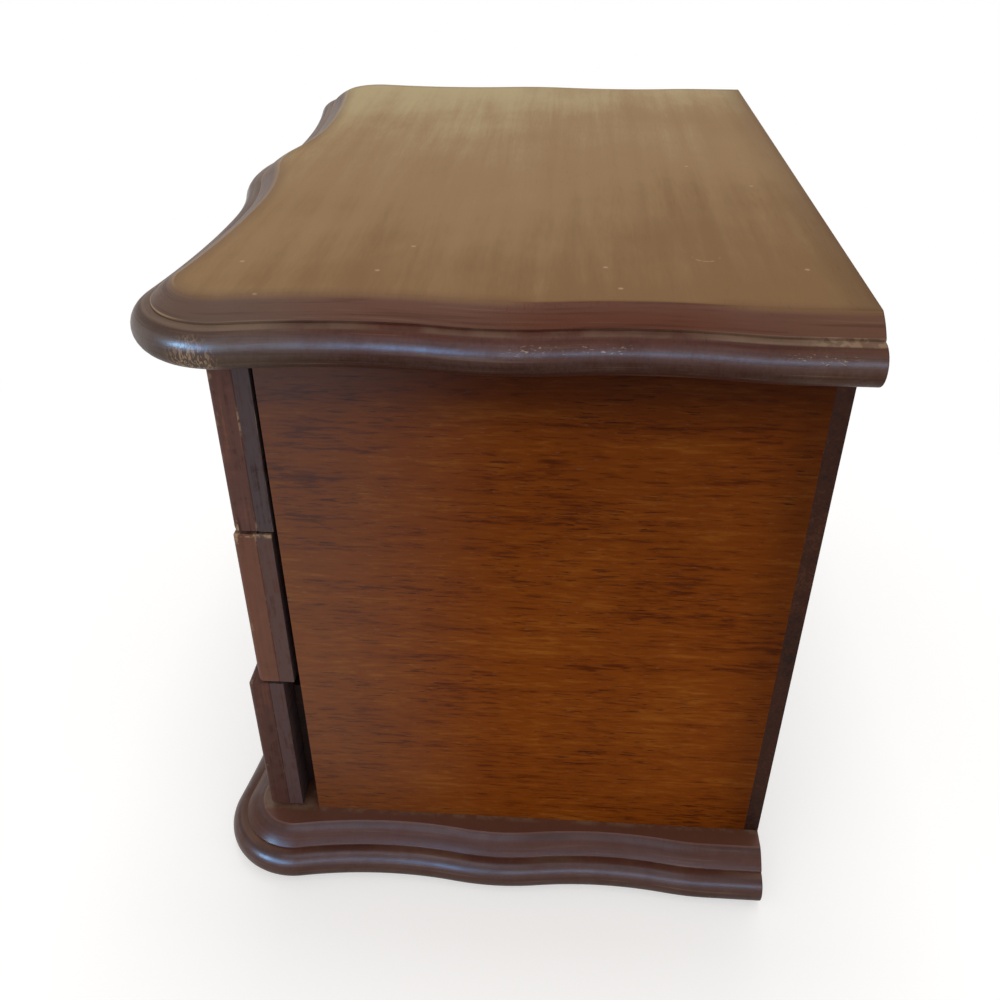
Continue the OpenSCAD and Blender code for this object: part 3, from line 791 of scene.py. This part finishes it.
def sharp_edges(bm, angle=SHARP):
    return [e for e in bm.edges if len(e.link_faces) == 2 and e.calc_face_angle(0.0) > angle]


def eased_copy(node, width):
    """A CAD board with its faces merged and its edges eased."""
    bm = bmesh.new()
    bm.from_mesh(frame["nodes"][node].data)
    bmesh.ops.remove_doubles(bm, verts=bm.verts[:], dist=WELD)
    bmesh.ops.dissolve_limit(bm, angle_limit=math.radians(1), verts=bm.verts[:], edges=bm.edges[:])
    for face in bm.faces:
        face.smooth = False
    for edge in bm.edges:
        edge.smooth = True
    ease(bm, sharp_edges(bm), width)
    return bm


def box_matrix(lo, hi):
    """Takes a unit cube to a box."""
    return Matrix.Translation((lo + hi) / 2) @ Matrix.Diagonal((*(hi - lo), 1.0))


def arc(centre, radius, first, last, steps):
    """Points of an arc, its angles in degrees."""
    angles = [math.radians(first + (last - first) * k / steps) for k in range(steps + 1)]
    return [(centre[0] + radius * math.cos(a), centre[1] + radius * math.sin(a)) for a in angles]


def lathe(bm, section, matrix, steps):
    """Turns a section of [radius, height] points round Z and puts it in place; returns its vertices."""
    before = set(bm.verts)
    chain = [bm.verts.new((radius, 0.0, height)) for radius, height in section]
    edges = [bm.edges.new(pair) for pair in zip(chain, chain[1:])]
    bmesh.ops.spin(
        bm, geom=chain + edges, cent=(0, 0, 0), axis=(0, 0, 1), angle=math.tau, steps=steps, use_merge=True
    )
    bmesh.ops.remove_doubles(bm, verts=[v for v in bm.verts if v not in before], dist=WELD)
    made = [v for v in bm.verts if v not in before]
    faces = list({face for vert in made for face in vert.link_faces})
    bmesh.ops.recalc_face_normals(bm, faces=faces)
    for face in faces:
        face.smooth = True
    bmesh.ops.transform(bm, matrix=matrix, verts=made)
    return made


def keep_creases(bm, angle=SHARP):
    """Keeps the shading crisp where smooth faces meet at an angle."""
    for edge in sharp_edges(bm, angle):
        edge.smooth = False


def wave_sum(run, rise):
    """Sum of the radii of a crest and a hollow that meet smoothly."""
    return (run * run + rise * rise) / (2 * rise)


def nose_route(sizes, lo, hi):
    """Centre and end of each arc of a board's right half, from the front middle to the back."""
    side_x = hi.x - sizes.corner_out
    hollow_side_x = side_x - sizes.side_hollow
    corner = Vector((hi.x - sizes.corner_r, lo.y + sizes.corner_back + sizes.corner_r, 0))
    run = (hi.y - sizes.end_run - corner.y) / 4
    front_deep = Vector((sizes.hollow_x, lo.y + sizes.front_hollow, 0))
    side_deep = Vector((hollow_side_x, corner.y + run, 0))
    inner_r = wave_sum(sizes.hollow_x, sizes.front_hollow) - sizes.bulge_r
    outer_r = wave_sum(corner.x - sizes.hollow_x, sizes.front_hollow - sizes.corner_back) - sizes.corner_r
    first_r = wave_sum(run, sizes.side_hollow + sizes.corner_out) - sizes.corner_r
    wave_r = wave_sum(run, sizes.side_hollow) - sizes.crest_r
    bulge = Vector((0, lo.y + sizes.bulge_r, 0))
    inner = front_deep - Vector((0, inner_r, 0))
    outer = front_deep - Vector((0, outer_r, 0))
    first = side_deep + Vector((first_r, 0, 0))
    second = side_deep + Vector((wave_r, 0, 0))
    third = second + Vector((0, 2 * run, 0))
    crest = Vector((side_x - sizes.crest_r, corner.y + 2 * run, 0))
    last = crest + Vector((0, 2 * run, 0))

    def meet(round_centre, radius, hollow_centre):
        return round_centre + radius * (hollow_centre - round_centre).normalized()

    return [
        (bulge, meet(bulge, sizes.bulge_r, inner)),
        (inner, front_deep),
        (outer, meet(corner, sizes.corner_r, outer)),
        (corner, meet(corner, sizes.corner_r, first)),
        (first, side_deep),
        (second, meet(crest, sizes.crest_r, second)),
        (crest, meet(crest, sizes.crest_r, third)),
        (third, meet(last, sizes.crest_r, third)),
        (last, last + Vector((sizes.crest_r, 0, 0))),
    ]


def edge_section(sizes, thickness):
    """The moulded edge from the underside to the flat, as [inset, height] points."""
    r = sizes.nose_r
    foot = Vector((r + sizes.ledge, 2 * r + sizes.step_h))
    chord = Vector((sizes.ovolo_w, thickness - foot.y))
    radius = chord.length / (2 * math.sin(sizes.ovolo_turn / 2))
    first = math.atan2(chord.y, chord.x) + (sizes.ovolo_turn + math.pi) / 2
    centre = foot - radius * Vector((math.cos(first), math.sin(first)))
    ovolo = arc(centre, radius, math.degrees(first), math.degrees(first - sizes.ovolo_turn), 8)
    return arc((r, r), r, 270, 90, 16) + [(foot.x, 2 * r)] + ovolo


def moulded_board(node, sizes, sinks=()):
    """Sweeps the moulded edge round half a board, mirrors it and closes its flat faces."""
    lo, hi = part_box(node)
    bm = bmesh.new()
    section = edge_section(sizes, hi.z - lo.z)
    chain = [bm.verts.new((0, lo.y + inset, lo.z + height)) for inset, height in section]
    strip = chain + [bm.edges.new(pair) for pair in zip(chain, chain[1:])]
    start = Vector((0, lo.y, 0))
    for centre, end in nose_route(sizes, lo, hi):
        arm, goal = start - centre, end - centre
        turn = math.atan2(arm.cross(goal).z, arm.dot(goal))
        steps = max(2, math.ceil(abs(turn) * arm.length / sizes.facet))
        swept = bmesh.ops.spin(bm, geom=strip, cent=centre, axis=(0, 0, 1), angle=turn, steps=steps)
        strip = swept["geom_last"]
        start = end
    run = bmesh.ops.extrude_edge_only(bm, edges=of_kind(strip, BMEdge))["geom"]
    for vert in of_kind(run, BMVert):
        vert.co.y = hi.y
    everything = bm.verts[:] + bm.edges[:] + bm.faces[:]
    bmesh.ops.mirror(bm, geom=everything, matrix=Matrix.Identity(4), merge_dist=WELD, axis="X")
    for face in bm.faces:
        face.smooth = True
    flats = close_flat(bm, hi.z) + close_flat(bm, lo.z, sinks)
    back = bmesh.ops.holes_fill(bm, edges=[e for e in bm.edges if e.is_boundary], sides=0)["faces"]
    for face in flats + back:
        face.smooth = False
    bmesh.ops.recalc_face_normals(bm, faces=bm.faces[:])
    back_edges = [e for e in bm.edges if all(abs(v.co.y - hi.y) < WELD for v in e.verts)]
    ease(bm, back_edges, sizes.back_ease, 2)
    mark_rim(bm, sizes.flat_rim)
    keep_creases(bm, MOULDING_CREASE)
    return bm


def mark_rim(bm, width):
    """Insets the upper flat and marks its edge with 1 and what lies inside with 0."""
    top = max(bm.faces, key=lambda face: face.calc_area() if face.normal.z > 0.99 else 0.0)
    rim = bm.verts.layers.float.new("rim")
    for vert in top.verts:
        vert[rim] = 1.0
    bmesh.ops.inset_region(bm, faces=[top], thickness=width)
    for vert in top.verts:
        vert[rim] = 0.0


def close_flat(bm, height, sinks=()):
    """Fills a board's open face at one height, leaving countersinks open; returns the new faces."""
    rim = [e for e in bm.edges if e.is_boundary and all(abs(v.co.z - height) < WELD for v in e.verts)]
    ends = [v for e in rim for v in e.verts if sum(other in rim for other in v.link_edges) == 1]
    rim.append(bm.edges.new(ends))
    if not sinks:
        return bmesh.ops.contextual_create(bm, geom=rim)["faces"]
    holes = []
    for centre, mouth, _ in sinks:
        spot = Matrix.Translation(centre)
        ring = bmesh.ops.create_circle(bm, segments=SCREW_STEPS, radius=mouth, matrix=spot)["verts"]
        holes += list({edge for vert in ring for edge in vert.link_edges})
    made = bmesh.ops.triangle_fill(bm, use_beauty=True, use_dissolve=False, edges=rim + holes)["geom"]
    flats = of_kind(made, BMFace)
    for centre, mouth, shank in sinks:
        loop = [e for e in holes if all(abs((v.co - centre).length - mouth) < WELD for v in e.verts)]
        cone = bmesh.ops.extrude_edge_only(bm, edges=loop)["geom"]
        deep = Matrix.Translation((0, 0, mouth - shank)) @ Matrix.Translation(centre)
        shrink = Matrix.Diagonal((shank / mouth, shank / mouth, 1.0, 1.0)) @ Matrix.Translation(-centre)
        bmesh.ops.transform(bm, matrix=deep @ shrink, verts=of_kind(cone, BMVert))
        inner = [edge for edge in of_kind(cone, BMEdge) if edge.is_boundary]
        flats += bmesh.ops.contextual_create(bm, geom=inner)["faces"]
    return flats


def grooved_face(node, sizes):
    """A drawer's face board: rounded front edges and a round border groove."""
    lo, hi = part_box(node)
    bm = bmesh.new()
    bmesh.ops.create_cube(bm, size=1.0, matrix=box_matrix(lo, hi))

    def facing(direction):
        flat = [face for face in bm.faces if face.normal.dot(direction) > 0.999]
        return max(flat, key=lambda face: face.calc_area())

    ease(bm, facing(Vector((0, 1, 0))).edges[:], sizes.rear_ease, 2)
    ease(bm, facing(Vector((0, -1, 0))).edges[:], sizes.arris_r, 6)
    front = facing(Vector((0, -1, 0)))
    lift = sizes.border_r - sizes.border_depth
    half = math.sqrt(sizes.border_r**2 - lift**2)
    bmesh.ops.inset_region(bm, faces=[front], thickness=sizes.border_in - half - sizes.arris_r)
    steps = 10
    places = [half * math.sin(math.pi * (k / steps - 0.5)) for k in range(steps + 1)]
    depths = [math.sqrt(max(0.0, sizes.border_r**2 - place**2)) - lift for place in places]
    for k in range(steps):
        ring = bmesh.ops.inset_region(bm, faces=[front], thickness=places[k + 1] - places[k])["faces"]
        bmesh.ops.translate(bm, verts=front.verts, vec=(0, depths[k + 1] - depths[k], 0))
        for face in ring:
            face.smooth = True
    keep_creases(bm)
    return bm


def knob_section(sizes, height, radius):
    """Half section of a knob from its foot to the middle of its face."""
    foot_r, neck_r = sizes.foot_d / 2, sizes.neck_d / 2
    neck_top = height - sizes.dome - 2 * sizes.rim
    cove_r = (neck_top - sizes.foot_t) / 2
    cove = (neck_r + cove_r, sizes.foot_t + cove_r)
    mouth = math.degrees(math.acos((foot_r - cove[0]) / cove_r))
    rim = (radius - sizes.rim, neck_top + sizes.rim)
    drop = (rim[0] ** 2 - sizes.dome**2) / (2 * sizes.dome)
    lean = math.degrees(math.atan2(drop, rim[0]))
    return (
        [(0.0, 0.0), (foot_r - sizes.foot_chamfer, 0.0), (foot_r, sizes.foot_chamfer)]
        + arc(cove, cove_r, 360 - mouth, mouth, 16)
        + arc(rim, sizes.rim, -90, lean, 14)
        + arc((0.0, rim[1] - drop), sizes.dome + drop + sizes.rim, lean, 90, 10)[1:]
    )


def cross_recess(bm, verts, centre, axis, reach, sizes):
    """Presses a cross recess into the flat top of a screw head."""
    spin = axis.to_track_quat("Z", "Y").to_matrix()
    arms = [spin @ Vector((1, 0, 0)), spin @ Vector((0, 1, 0))]
    half = sizes.drive_w / 2

    def head_faces():
        return {f for v in verts if v.is_valid for f in v.link_faces if f.normal.dot(axis) > FACING}

    def in_cross(face):
        gap = face.calc_center_median() - centre
        along = sorted(abs(gap.dot(side)) for side in arms)
        return along[0] < half and along[1] < reach

    for side in arms:
        for sign in (-1, 1):
            faces = head_faces()
            corners = {v for f in faces for v in f.verts}
            edges = {e for f in faces for e in f.edges}
            plane = centre + sign * half * side
            cut = bmesh.ops.bisect_plane(bm, geom=[*corners, *edges, *faces], plane_co=plane, plane_no=side)
            verts = list({*verts, *of_kind(cut["geom_cut"], BMVert)})
    cross = [face for face in head_faces() if in_cross(face)]
    bmesh.ops.inset_region(bm, faces=cross, thickness=sizes.drive_wall)
    moved = list({v for face in cross for v in face.verts})
    bmesh.ops.translate(bm, verts=moved, vec=-axis * sizes.drive_depth)
    for face in cross:
        face.smooth = False


def frame_to(origin, axis):
    """Takes local Z to an axis through a point."""
    return Matrix.Translation(origin) @ axis.to_track_quat("Z", "Y").to_matrix().to_4x4()


def soft_pad(bm, lo, hi, sizes):
    """A low pad with a crown, drawn-in sides and a rounded rim."""
    size = hi - lo
    cells = [max(6, round(size[axis] / sizes.pad_cell)) for axis in (X, Y)]
    sheet = bmesh.ops.create_grid(bm, x_segments=cells[X], y_segments=cells[Y], size=1.0)["verts"]
    crown = size.z - sizes.pad_rim
    for vert in sheet:
        u, v = vert.co.x, vert.co.y
        x = (lo.x + hi.x) / 2 + u * (size.x / 2 - sizes.pad_draw * (1 - v * v))
        y = (lo.y + hi.y) / 2 + v * (size.y / 2 - sizes.pad_draw * (1 - u * u))
        swell = (1 - u**6) * (1 - v**6)
        ripple = noise.noise(Vector((x, y, 0)) / sizes.rumple_size) * sizes.rumple
        vert.co = (x, y, lo.z + sizes.pad_rim + (crown - sizes.rumple) * swell + ripple * swell)
    rim = list({e for v in sheet for e in v.link_edges if e.is_boundary})
    skirt = bmesh.ops.extrude_edge_only(bm, edges=rim)["geom"]
    for vert in of_kind(skirt, BMVert):
        vert.co.z = lo.z
    under = [edge for edge in of_kind(skirt, BMEdge) if edge.is_boundary]
    bmesh.ops.contextual_create(bm, geom=under)
    ease(bm, rim, sizes.pad_round, 4)


def ring_roll(bm, sizes, middle, span):
    """One velvet roll along X with soft round ends."""
    r = sizes.roll_d / 2
    end = sizes.roll_end
    section = (
        [(0.0, -span / 2)]
        + arc((r - end, end - span / 2), end, -90, 0, 8)
        + [(r, span * (k / 24 - 0.5)) for k in range(3, 22)]
        + arc((r - end, span / 2 - end), end, 0, 90, 8)
        + [(0.0, span / 2)]
    )
    verts = lathe(bm, section, frame_to(middle, Vector((1, 0, 0))), ROLL_STEPS)
    for vert in verts:
        spot = vert.co / sizes.rumple_size
        out = vert.co - Vector((vert.co.x, middle.y, middle.z))
        if out.length > WELD:
            vert.co += out.normalized() * sizes.rumple * (noise.noise(spot * 1.6) - 0.6)


class BOX_OT_boards(bpy.types.Operator):
    """Makes the serpentine moulded top and base"""

    bl_idname = "jewelry_box.boards"
    bl_label = "Moulded boards"

    def execute(self, context):
        scene = context.scene
        sizes, colours, fasteners = scene.box_moulding, scene.box_colours, scene.box_fastener
        place(moulded_board("top_board", sizes), "moulded_top", top_wood(colours, sizes), "top_board")
        mouth, shank = fasteners.base_head_d / 2, fasteners.base_screw_d / 2
        sinks = [(spot, mouth, shank) for spot in base_screw_places(fasteners)]
        base = moulded_board("base_board", sizes, sinks)
        place(base, "moulded_base", base_wood(colours, sizes), "base_board")
        return {"FINISHED"}


def base_screw_places(sizes):
    """Centres of the four countersunk heads on the underside."""
    lo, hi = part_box("base_screws")
    r = sizes.base_head_d / 2
    return [Vector((x, y, lo.z)) for x in (lo.x + r, hi.x - r) for y in (lo.y + r, hi.y - r)]


class BOX_OT_case(bpy.types.Operator):
    """Eases the side panels, back, shelves and floor of the case"""

    bl_idname = "jewelry_box.case"
    bl_label = "Case"

    def execute(self, context):
        easing, colours = context.scene.box_easing, context.scene.box_colours
        panels = finish("panel", panel_wood, colours)
        for side in ("left", "right"):
            node = f"side_panel_{side}"
            place(eased_copy(node, easing.case), f"{node}_board", panels, node)
        back = finish("back", stained_wood, "back_wood", stain_tones(colours, "brown"), X, colours, 0.55)
        place(eased_copy("back_panel", easing.case), "back_board", back, "back_panel")
        for node in ("floor_panel", "shelf_lower", "shelf_upper"):
            place(eased_copy(node, easing.inside), f"{node}_board", finish(X, inner_wood, colours, X), node)
        frame["nodes"]["top_dowels"].data.materials.clear()
        frame["nodes"]["top_dowels"].data.materials.append(finish(Z, inner_wood, colours, Z))
        return {"FINISHED"}


class BOX_OT_fronts(bpy.types.Operator):
    """Makes the grooved faces of the drawers and the boards behind them"""

    bl_idname = "jewelry_box.fronts"
    bl_label = "Drawer fronts"

    def execute(self, context):
        scene = context.scene
        colours = scene.box_colours
        # Painted light and shade per drawer: on the faces the bottom one is darker and the middle one lighter
        light_and_shade_casts = ((colours.front_deep, 0.45), (colours.front_pale, 0.6), (colours.front, 0.2))
        face = finish("face", front_wood, "front_wood", stain_tones(colours, "front"), colours, 0.42, light_and_shade_casts)
        light_and_shade_casts = ((colours.front, 0.4), (colours.front_pale, 0.25), (colours.dull, 0.2))
        dull = (colours.dark_deep, colours.dull, colours.dark)
        backing = finish("backing", front_wood, "backing_wood", dull, colours, 0.55, light_and_shade_casts)
        for drawer in DRAWERS:
            node = f"{drawer}_face"
            board = grooved_face(node, scene.box_front)
            mark_ends(board, X)
            place(board, f"{node}_board", face, node)
            node = f"{drawer}_backing"
            board = eased_copy(node, scene.box_easing.backing)
            mark_ends(board, X)
            place(board, f"{node}_board", backing, node)
        return {"FINISHED"}


class BOX_OT_drawer_boxes(bpy.types.Operator):
    """Eases the sides, backs, bottoms and dividers of the drawers"""

    bl_idname = "jewelry_box.drawer_boxes"
    bl_label = "Drawer boxes"

    def execute(self, context):
        easing, colours = context.scene.box_easing, context.scene.box_colours
        grains = {"side_left": Y, "side_right": Y, "back": X, "floor": X}
        dividers = {"drawer_middle": ("divider_left", "divider_right"), "drawer_top": ("divider",)}
        for drawer in DRAWERS:
            parts = {**grains, **{name: Y for name in dividers.get(drawer, ())}}
            for part, grain in parts.items():
                node = f"{drawer}_{part}"
                wood = finish(grain, inner_wood, colours, grain)
                place(eased_copy(node, easing.inside), f"{node}_board", wood, node)
        return {"FINISHED"}


class BOX_OT_linings(bpy.types.Operator):
    """Makes the velvet pads and the ring rolls"""

    bl_idname = "jewelry_box.linings"
    bl_label = "Velvet linings"

    def execute(self, context):
        sizes = context.scene.box_lining
        cloth = finish("velvet", velvet, context.scene.box_colours)
        for node in ("drawer_bottom_pad", "drawer_top_pad"):
            self.pads(node, [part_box(node)], sizes, cloth)
        lo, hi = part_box("drawer_middle_pads")
        left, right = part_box("drawer_middle_divider_left"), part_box("drawer_middle_divider_right")
        play = left[0].x - lo.x - (right[0].x - left[1].x)
        edges = [(lo.x, left[0].x - play), (left[1].x + play, right[0].x - play), (right[1].x + play, hi.x)]
        boxes = [(Vector((a, lo.y, lo.z)), Vector((b, hi.y, hi.z))) for a, b in edges]
        self.pads("drawer_middle_pads", boxes, sizes, cloth)
        self.rolls("drawer_top_ring_rolls", sizes, cloth)
        return {"FINISHED"}

    def pads(self, node, boxes, sizes, cloth):
        bm = bmesh.new()
        for lo, hi in boxes:
            soft_pad(bm, lo, hi, sizes)
        bmesh.ops.recalc_face_normals(bm, faces=bm.faces[:])
        for face in bm.faces:
            face.smooth = face.normal.z > -0.9
        place(bm, f"{node}_velvet", cloth, node)

    def rolls(self, node, sizes, cloth):
        lo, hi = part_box(node)
        bm = bmesh.new()
        board_top = Vector((hi.x, hi.y, lo.z + sizes.roll_base))
        bmesh.ops.create_cube(bm, size=1.0, matrix=box_matrix(lo, board_top))
        ease(bm, bm.edges[:], sizes.roll_board_ease)
        pitch = (hi.y - lo.y) / sizes.roll_count
        for k in range(sizes.roll_count):
            middle = Vector(((lo.x + hi.x) / 2, lo.y + (k + 0.5) * pitch, hi.z - sizes.roll_d / 2))
            ring_roll(bm, sizes, middle, hi.x - lo.x)
        place(bm, f"{node}_velvet", cloth, node)


class BOX_OT_knobs(bpy.types.Operator):
    """Turns the knobs"""

    bl_idname = "jewelry_box.knobs"
    bl_label = "Knobs"

    def execute(self, context):
        colours = context.scene.box_colours
        wood = finish("knob", stained_wood, "knob_wood", stain_tones(colours, "front"), Y, colours, 0.34)
        for drawer in DRAWERS:
            for side in ("left", "right"):
                node = f"{drawer}_knob_{side}"
                lo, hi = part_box(node)
                foot = Vector(((lo.x + hi.x) / 2, hi.y, (lo.z + hi.z) / 2))
                bm = bmesh.new()
                section = knob_section(context.scene.box_knob, hi.y - lo.y, (hi.x - lo.x) / 2)
                lathe(bm, section, frame_to(foot, Vector((0, -1, 0))), KNOB_STEPS)
                keep_creases(bm)
                place(bm, f"{node}_turned", wood, node)
        return {"FINISHED"}


class BOX_OT_fasteners(bpy.types.Operator):
    """Makes the screws and brads"""

    bl_idname = "jewelry_box.fasteners"
    bl_label = "Fasteners"

    def execute(self, context):
        sizes = context.scene.box_fastener
        metal = finish("steel", steel, context.scene.box_colours)
        for drawer in DRAWERS:
            self.knob_screws(drawer, sizes, metal)
        self.base_screws(sizes, metal)
        self.brads(sizes, metal)
        return {"FINISHED"}

    def knob_screws(self, drawer, sizes, metal):
        node = f"{drawer}_knob_screws"
        lo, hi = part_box(node)
        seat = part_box(f"{drawer}_backing")[1].y
        head_r, shank_r = (hi.z - lo.z) / 2, sizes.knob_screw_d / 2
        head_h, tip = hi.y - seat, hi.y - lo.y
        flat_r = PAN_FLAT * head_r
        section = (
            [(0.0, 0.0), (DRIVE_REACH * head_r, 0.0)]
            + arc((flat_r, head_r - flat_r), head_r - flat_r, -90, 0, 6)
            + [(head_r, head_h), (shank_r, head_h), (shank_r, tip - shank_r), (0.0, tip)]
        )
        bm = bmesh.new()
        for side in ("left", "right"):
            low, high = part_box(f"{drawer}_knob_{side}")
            centre = Vector(((low.x + high.x) / 2, hi.y, (low.z + high.z) / 2))
            verts = lathe(bm, section, frame_to(centre, Vector((0, -1, 0))), SCREW_STEPS)
            cross_recess(bm, verts, centre, Vector((0, 1, 0)), DRIVE_REACH * head_r, sizes)
        keep_creases(bm)
        place(bm, f"{node}_turned", metal, node)

    def base_screws(self, sizes, metal):
        lo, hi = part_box("base_screws")
        head_r, shank_r = sizes.base_head_d / 2, sizes.base_screw_d / 2
        sunk = sizes.base_sunk
        section = [
            (0.0, sunk),
            (DRIVE_REACH * head_r, sunk),
            (head_r - sunk, sunk),
            (shank_r, head_r - shank_r),
            (shank_r, hi.z - lo.z - shank_r),
            (0.0, hi.z - lo.z),
        ]
        bm = bmesh.new()
        for centre in base_screw_places(sizes):
            verts = lathe(bm, section, Matrix.Translation(centre), SCREW_STEPS)
            face_centre = centre + Vector((0, 0, sunk))
            cross_recess(bm, verts, face_centre, Vector((0, 0, -1)), DRIVE_REACH * head_r, sizes)
        keep_creases(bm)
        place(bm, "base_screws_turned", metal, "base_screws")

    def brads(self, sizes, metal):
        lo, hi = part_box("back_brads")
        head_r, shank_r = sizes.brad_head_d / 2, sizes.brad_d / 2
        tip = hi.y - lo.y
        rounding = (head_r - sizes.brad_round, sizes.brad_sunk + sizes.brad_round)
        section = [(0.0, sizes.brad_sunk)] + arc(rounding, sizes.brad_round, -90, 0, 4)
        section += [
            (head_r, sizes.brad_head_t),
            (shank_r, sizes.brad_head_t),
            (shank_r, tip - 2 * shank_r),
            (0.0, tip),
        ]
        bm = bmesh.new()
        for x in (lo.x + head_r, hi.x - head_r):
            for row in range(sizes.brad_rows):
                z = lo.z + head_r + (hi.z - lo.z - 2 * head_r) * row / (sizes.brad_rows - 1)
                lathe(bm, section, frame_to(Vector((x, hi.y, z)), Vector((0, -1, 0))), BRAD_STEPS)
        keep_creases(bm)
        place(bm, "back_brads_drawn", metal, "back_brads")


# Lamps as name, place, size and colour; a glint lights only what is glossy
GLINTS = (
    ("window", (1.16, -0.77, 0.60), (1.0, 0.4), (0.16, 0.48, 1.0)),
    ("pane", (0.97, -1.04, 0.60), (0.25, 0.3), (0.36, 0.68, 1.0)),
    ("side", (1.16, 0.25, 0.60), (0.6, 0.3), (0.30, 0.60, 1.0)),
    ("sky", (0.50, -0.15, 1.20), (0.5, 0.5), (0.60, 0.72, 1.0)),
)
LAMPS = (
    ("ceiling", (-0.15, 0.0, 1.30), (0.45, 0.45), (0.95, 0.96, 1.0)),
    ("room", (2.0, -0.6, 0.95), (2.0, 2.0), (1.0, 0.97, 0.93)),
)
LAMP_AIM = Vector((0.0, 0.0, 0.13))

# Distances from the middle between which the floor turns white
FLOOR_FADE = (0.22, 0.5)


class BOX_OT_stage(bpy.types.Operator):
    """Sets the camera, the light and the pale floor"""

    bl_idname = "jewelry_box.stage"
    bl_label = "Stage"

    def execute(self, context):
        scene, levels = context.scene, context.scene.box_stage
        scene.view_settings.view_transform = "Standard"
        self.camera(scene, levels)
        self.floor(scene, levels)
        self.world(scene, levels)
        for name, spot, size, colour in GLINTS:
            lamp = self.lamp(scene, name, getattr(levels, name), spot, size, colour)
            lamp.visible_diffuse = False
        for name, spot, size, colour in LAMPS:
            self.lamp(scene, name, getattr(levels, name), spot, size, colour)
        return {"FINISHED"}

    def camera(self, scene, levels):
        camera = bpy.data.objects.new("camera", bpy.data.cameras.new("camera"))
        camera.data.lens = levels.lens
        camera.data.sensor_width = levels.sensor
        camera.data.clip_start = 10 * MM
        flat = math.cos(levels.pitch)
        look = Vector((-math.cos(levels.yaw) * flat, -math.sin(levels.yaw) * flat, -math.sin(levels.pitch)))
        camera.location = levels.eye
        camera.rotation_euler = look.to_track_quat("-Z", "Y").to_euler()
        scene.collection.objects.link(camera)
        scene.camera = camera

    def floor(self, scene, levels):
        bm = bmesh.new()
        bmesh.ops.create_circle(bm, cap_ends=True, segments=96, radius=levels.floor_r)
        bmesh.ops.translate(bm, verts=bm.verts[:], vec=(0, 0, -levels.floor_drop))
        mesh = bpy.data.meshes.new("floor")
        bm.to_mesh(mesh)
        bm.free()
        floor = bpy.data.objects.new("floor", mesh)
        scene.collection.objects.link(floor)
        mesh.materials.append(self.pale_floor())

    def pale_floor(self):
        """Pale and matt round the object, where it keeps the shadow, and plain white further out."""
        paper = Finish("pale_floor", Base_Color=(0.66, 0.65, 0.63), Roughness=0.9, Specular_IOR_Level=0.0)
        matt = Wire(paper.tree, paper.shader.outputs[0])
        reach = paper.add("ShaderNodeVectorMath", {"operation": "LENGTH"}, {0: paper.place}, "Value")
        glow = paper.add("ShaderNodeEmission", inputs={"Strength": 0.5})
        near = paper.add("ShaderNodeAddShader", inputs={0: matt, 1: glow})
        white = paper.add("ShaderNodeEmission")
        far = paper.rise(reach, *FLOOR_FADE)
        lit = paper.add("ShaderNodeMixShader", inputs={0: far, 1: near, 2: white})
        shown = paper.add("ShaderNodeMixShader", inputs={0: ray_seen(paper.tree), 1: matt, 2: lit})
        plug(paper.tree, paper.tree.nodes["Material Output"].inputs["Surface"], shown)
        return paper.material

    def world(self, scene, levels):
        world = bpy.data.worlds.new("studio")
        world.use_nodes = True
        tree = world.node_tree
        background = tree.nodes["Background"]
        plug(tree, background.inputs["Color"], (1.0, 1.0, 1.0))
        plug(tree, background.inputs["Strength"], ray_seen(tree) * (1 - levels.ambient) + levels.ambient)
        scene.world = world

    def lamp(self, scene, name, watts, spot, size, colour):
        light = bpy.data.lights.new(name, "AREA")
        light.shape = "RECTANGLE"
        light.energy, light.color = watts, colour
        light.size, light.size_y = size
        lamp = bpy.data.objects.new(name, light)
        lamp.location = spot
        lamp.rotation_euler = (LAMP_AIM - Vector(spot)).to_track_quat("-Z", "Y").to_euler()
        scene.collection.objects.link(lamp)
        return lamp


def ray_seen(tree):
    """1 for rays that show what they meet: camera, glossy and transmission rays."""
    path = tree.nodes.new("ShaderNodeLightPath")
    kinds = ("Is Camera Ray", "Is Glossy Ray", "Is Transmission Ray")
    camera, glossy, clear = (Wire(tree, path.outputs[kind]) for kind in kinds)
    return camera | glossy | clear


OPERATORS = (
    BOX_OT_boards,
    BOX_OT_case,
    BOX_OT_fronts,
    BOX_OT_drawer_boxes,
    BOX_OT_linings,
    BOX_OT_knobs,
    BOX_OT_fasteners,
    BOX_OT_stage,
)


class BOX_PT_panel(bpy.types.Panel):
    """Lists the steps that dress the box"""

    bl_label = "Jewelry Box"
    bl_idname = "BOX_PT_panel"
    bl_space_type = "VIEW_3D"
    bl_region_type = "UI"
    bl_category = "Jewelry Box"

    def draw(self, context):
        for operator in OPERATORS:
            self.layout.operator(operator.bl_idname)


def register():
    for cls in (*GROUPS.values(), *OPERATORS, BOX_PT_panel):
        bpy.utils.register_class(cls)
    for name, cls in GROUPS.items():
        setattr(bpy.types.Scene, name, PointerProperty(type=cls))


def unregister():
    for name in GROUPS:
        delattr(bpy.types.Scene, name)
    for cls in (BOX_PT_panel, *reversed(OPERATORS), *reversed(GROUPS.values())):
        bpy.utils.unregister_class(cls)


def main():
    register()
    for operator in OPERATORS:
        group, name = operator.bl_idname.split(".")
        getattr(getattr(bpy.ops, group), name)()


if __name__ == "__main__":
    main()
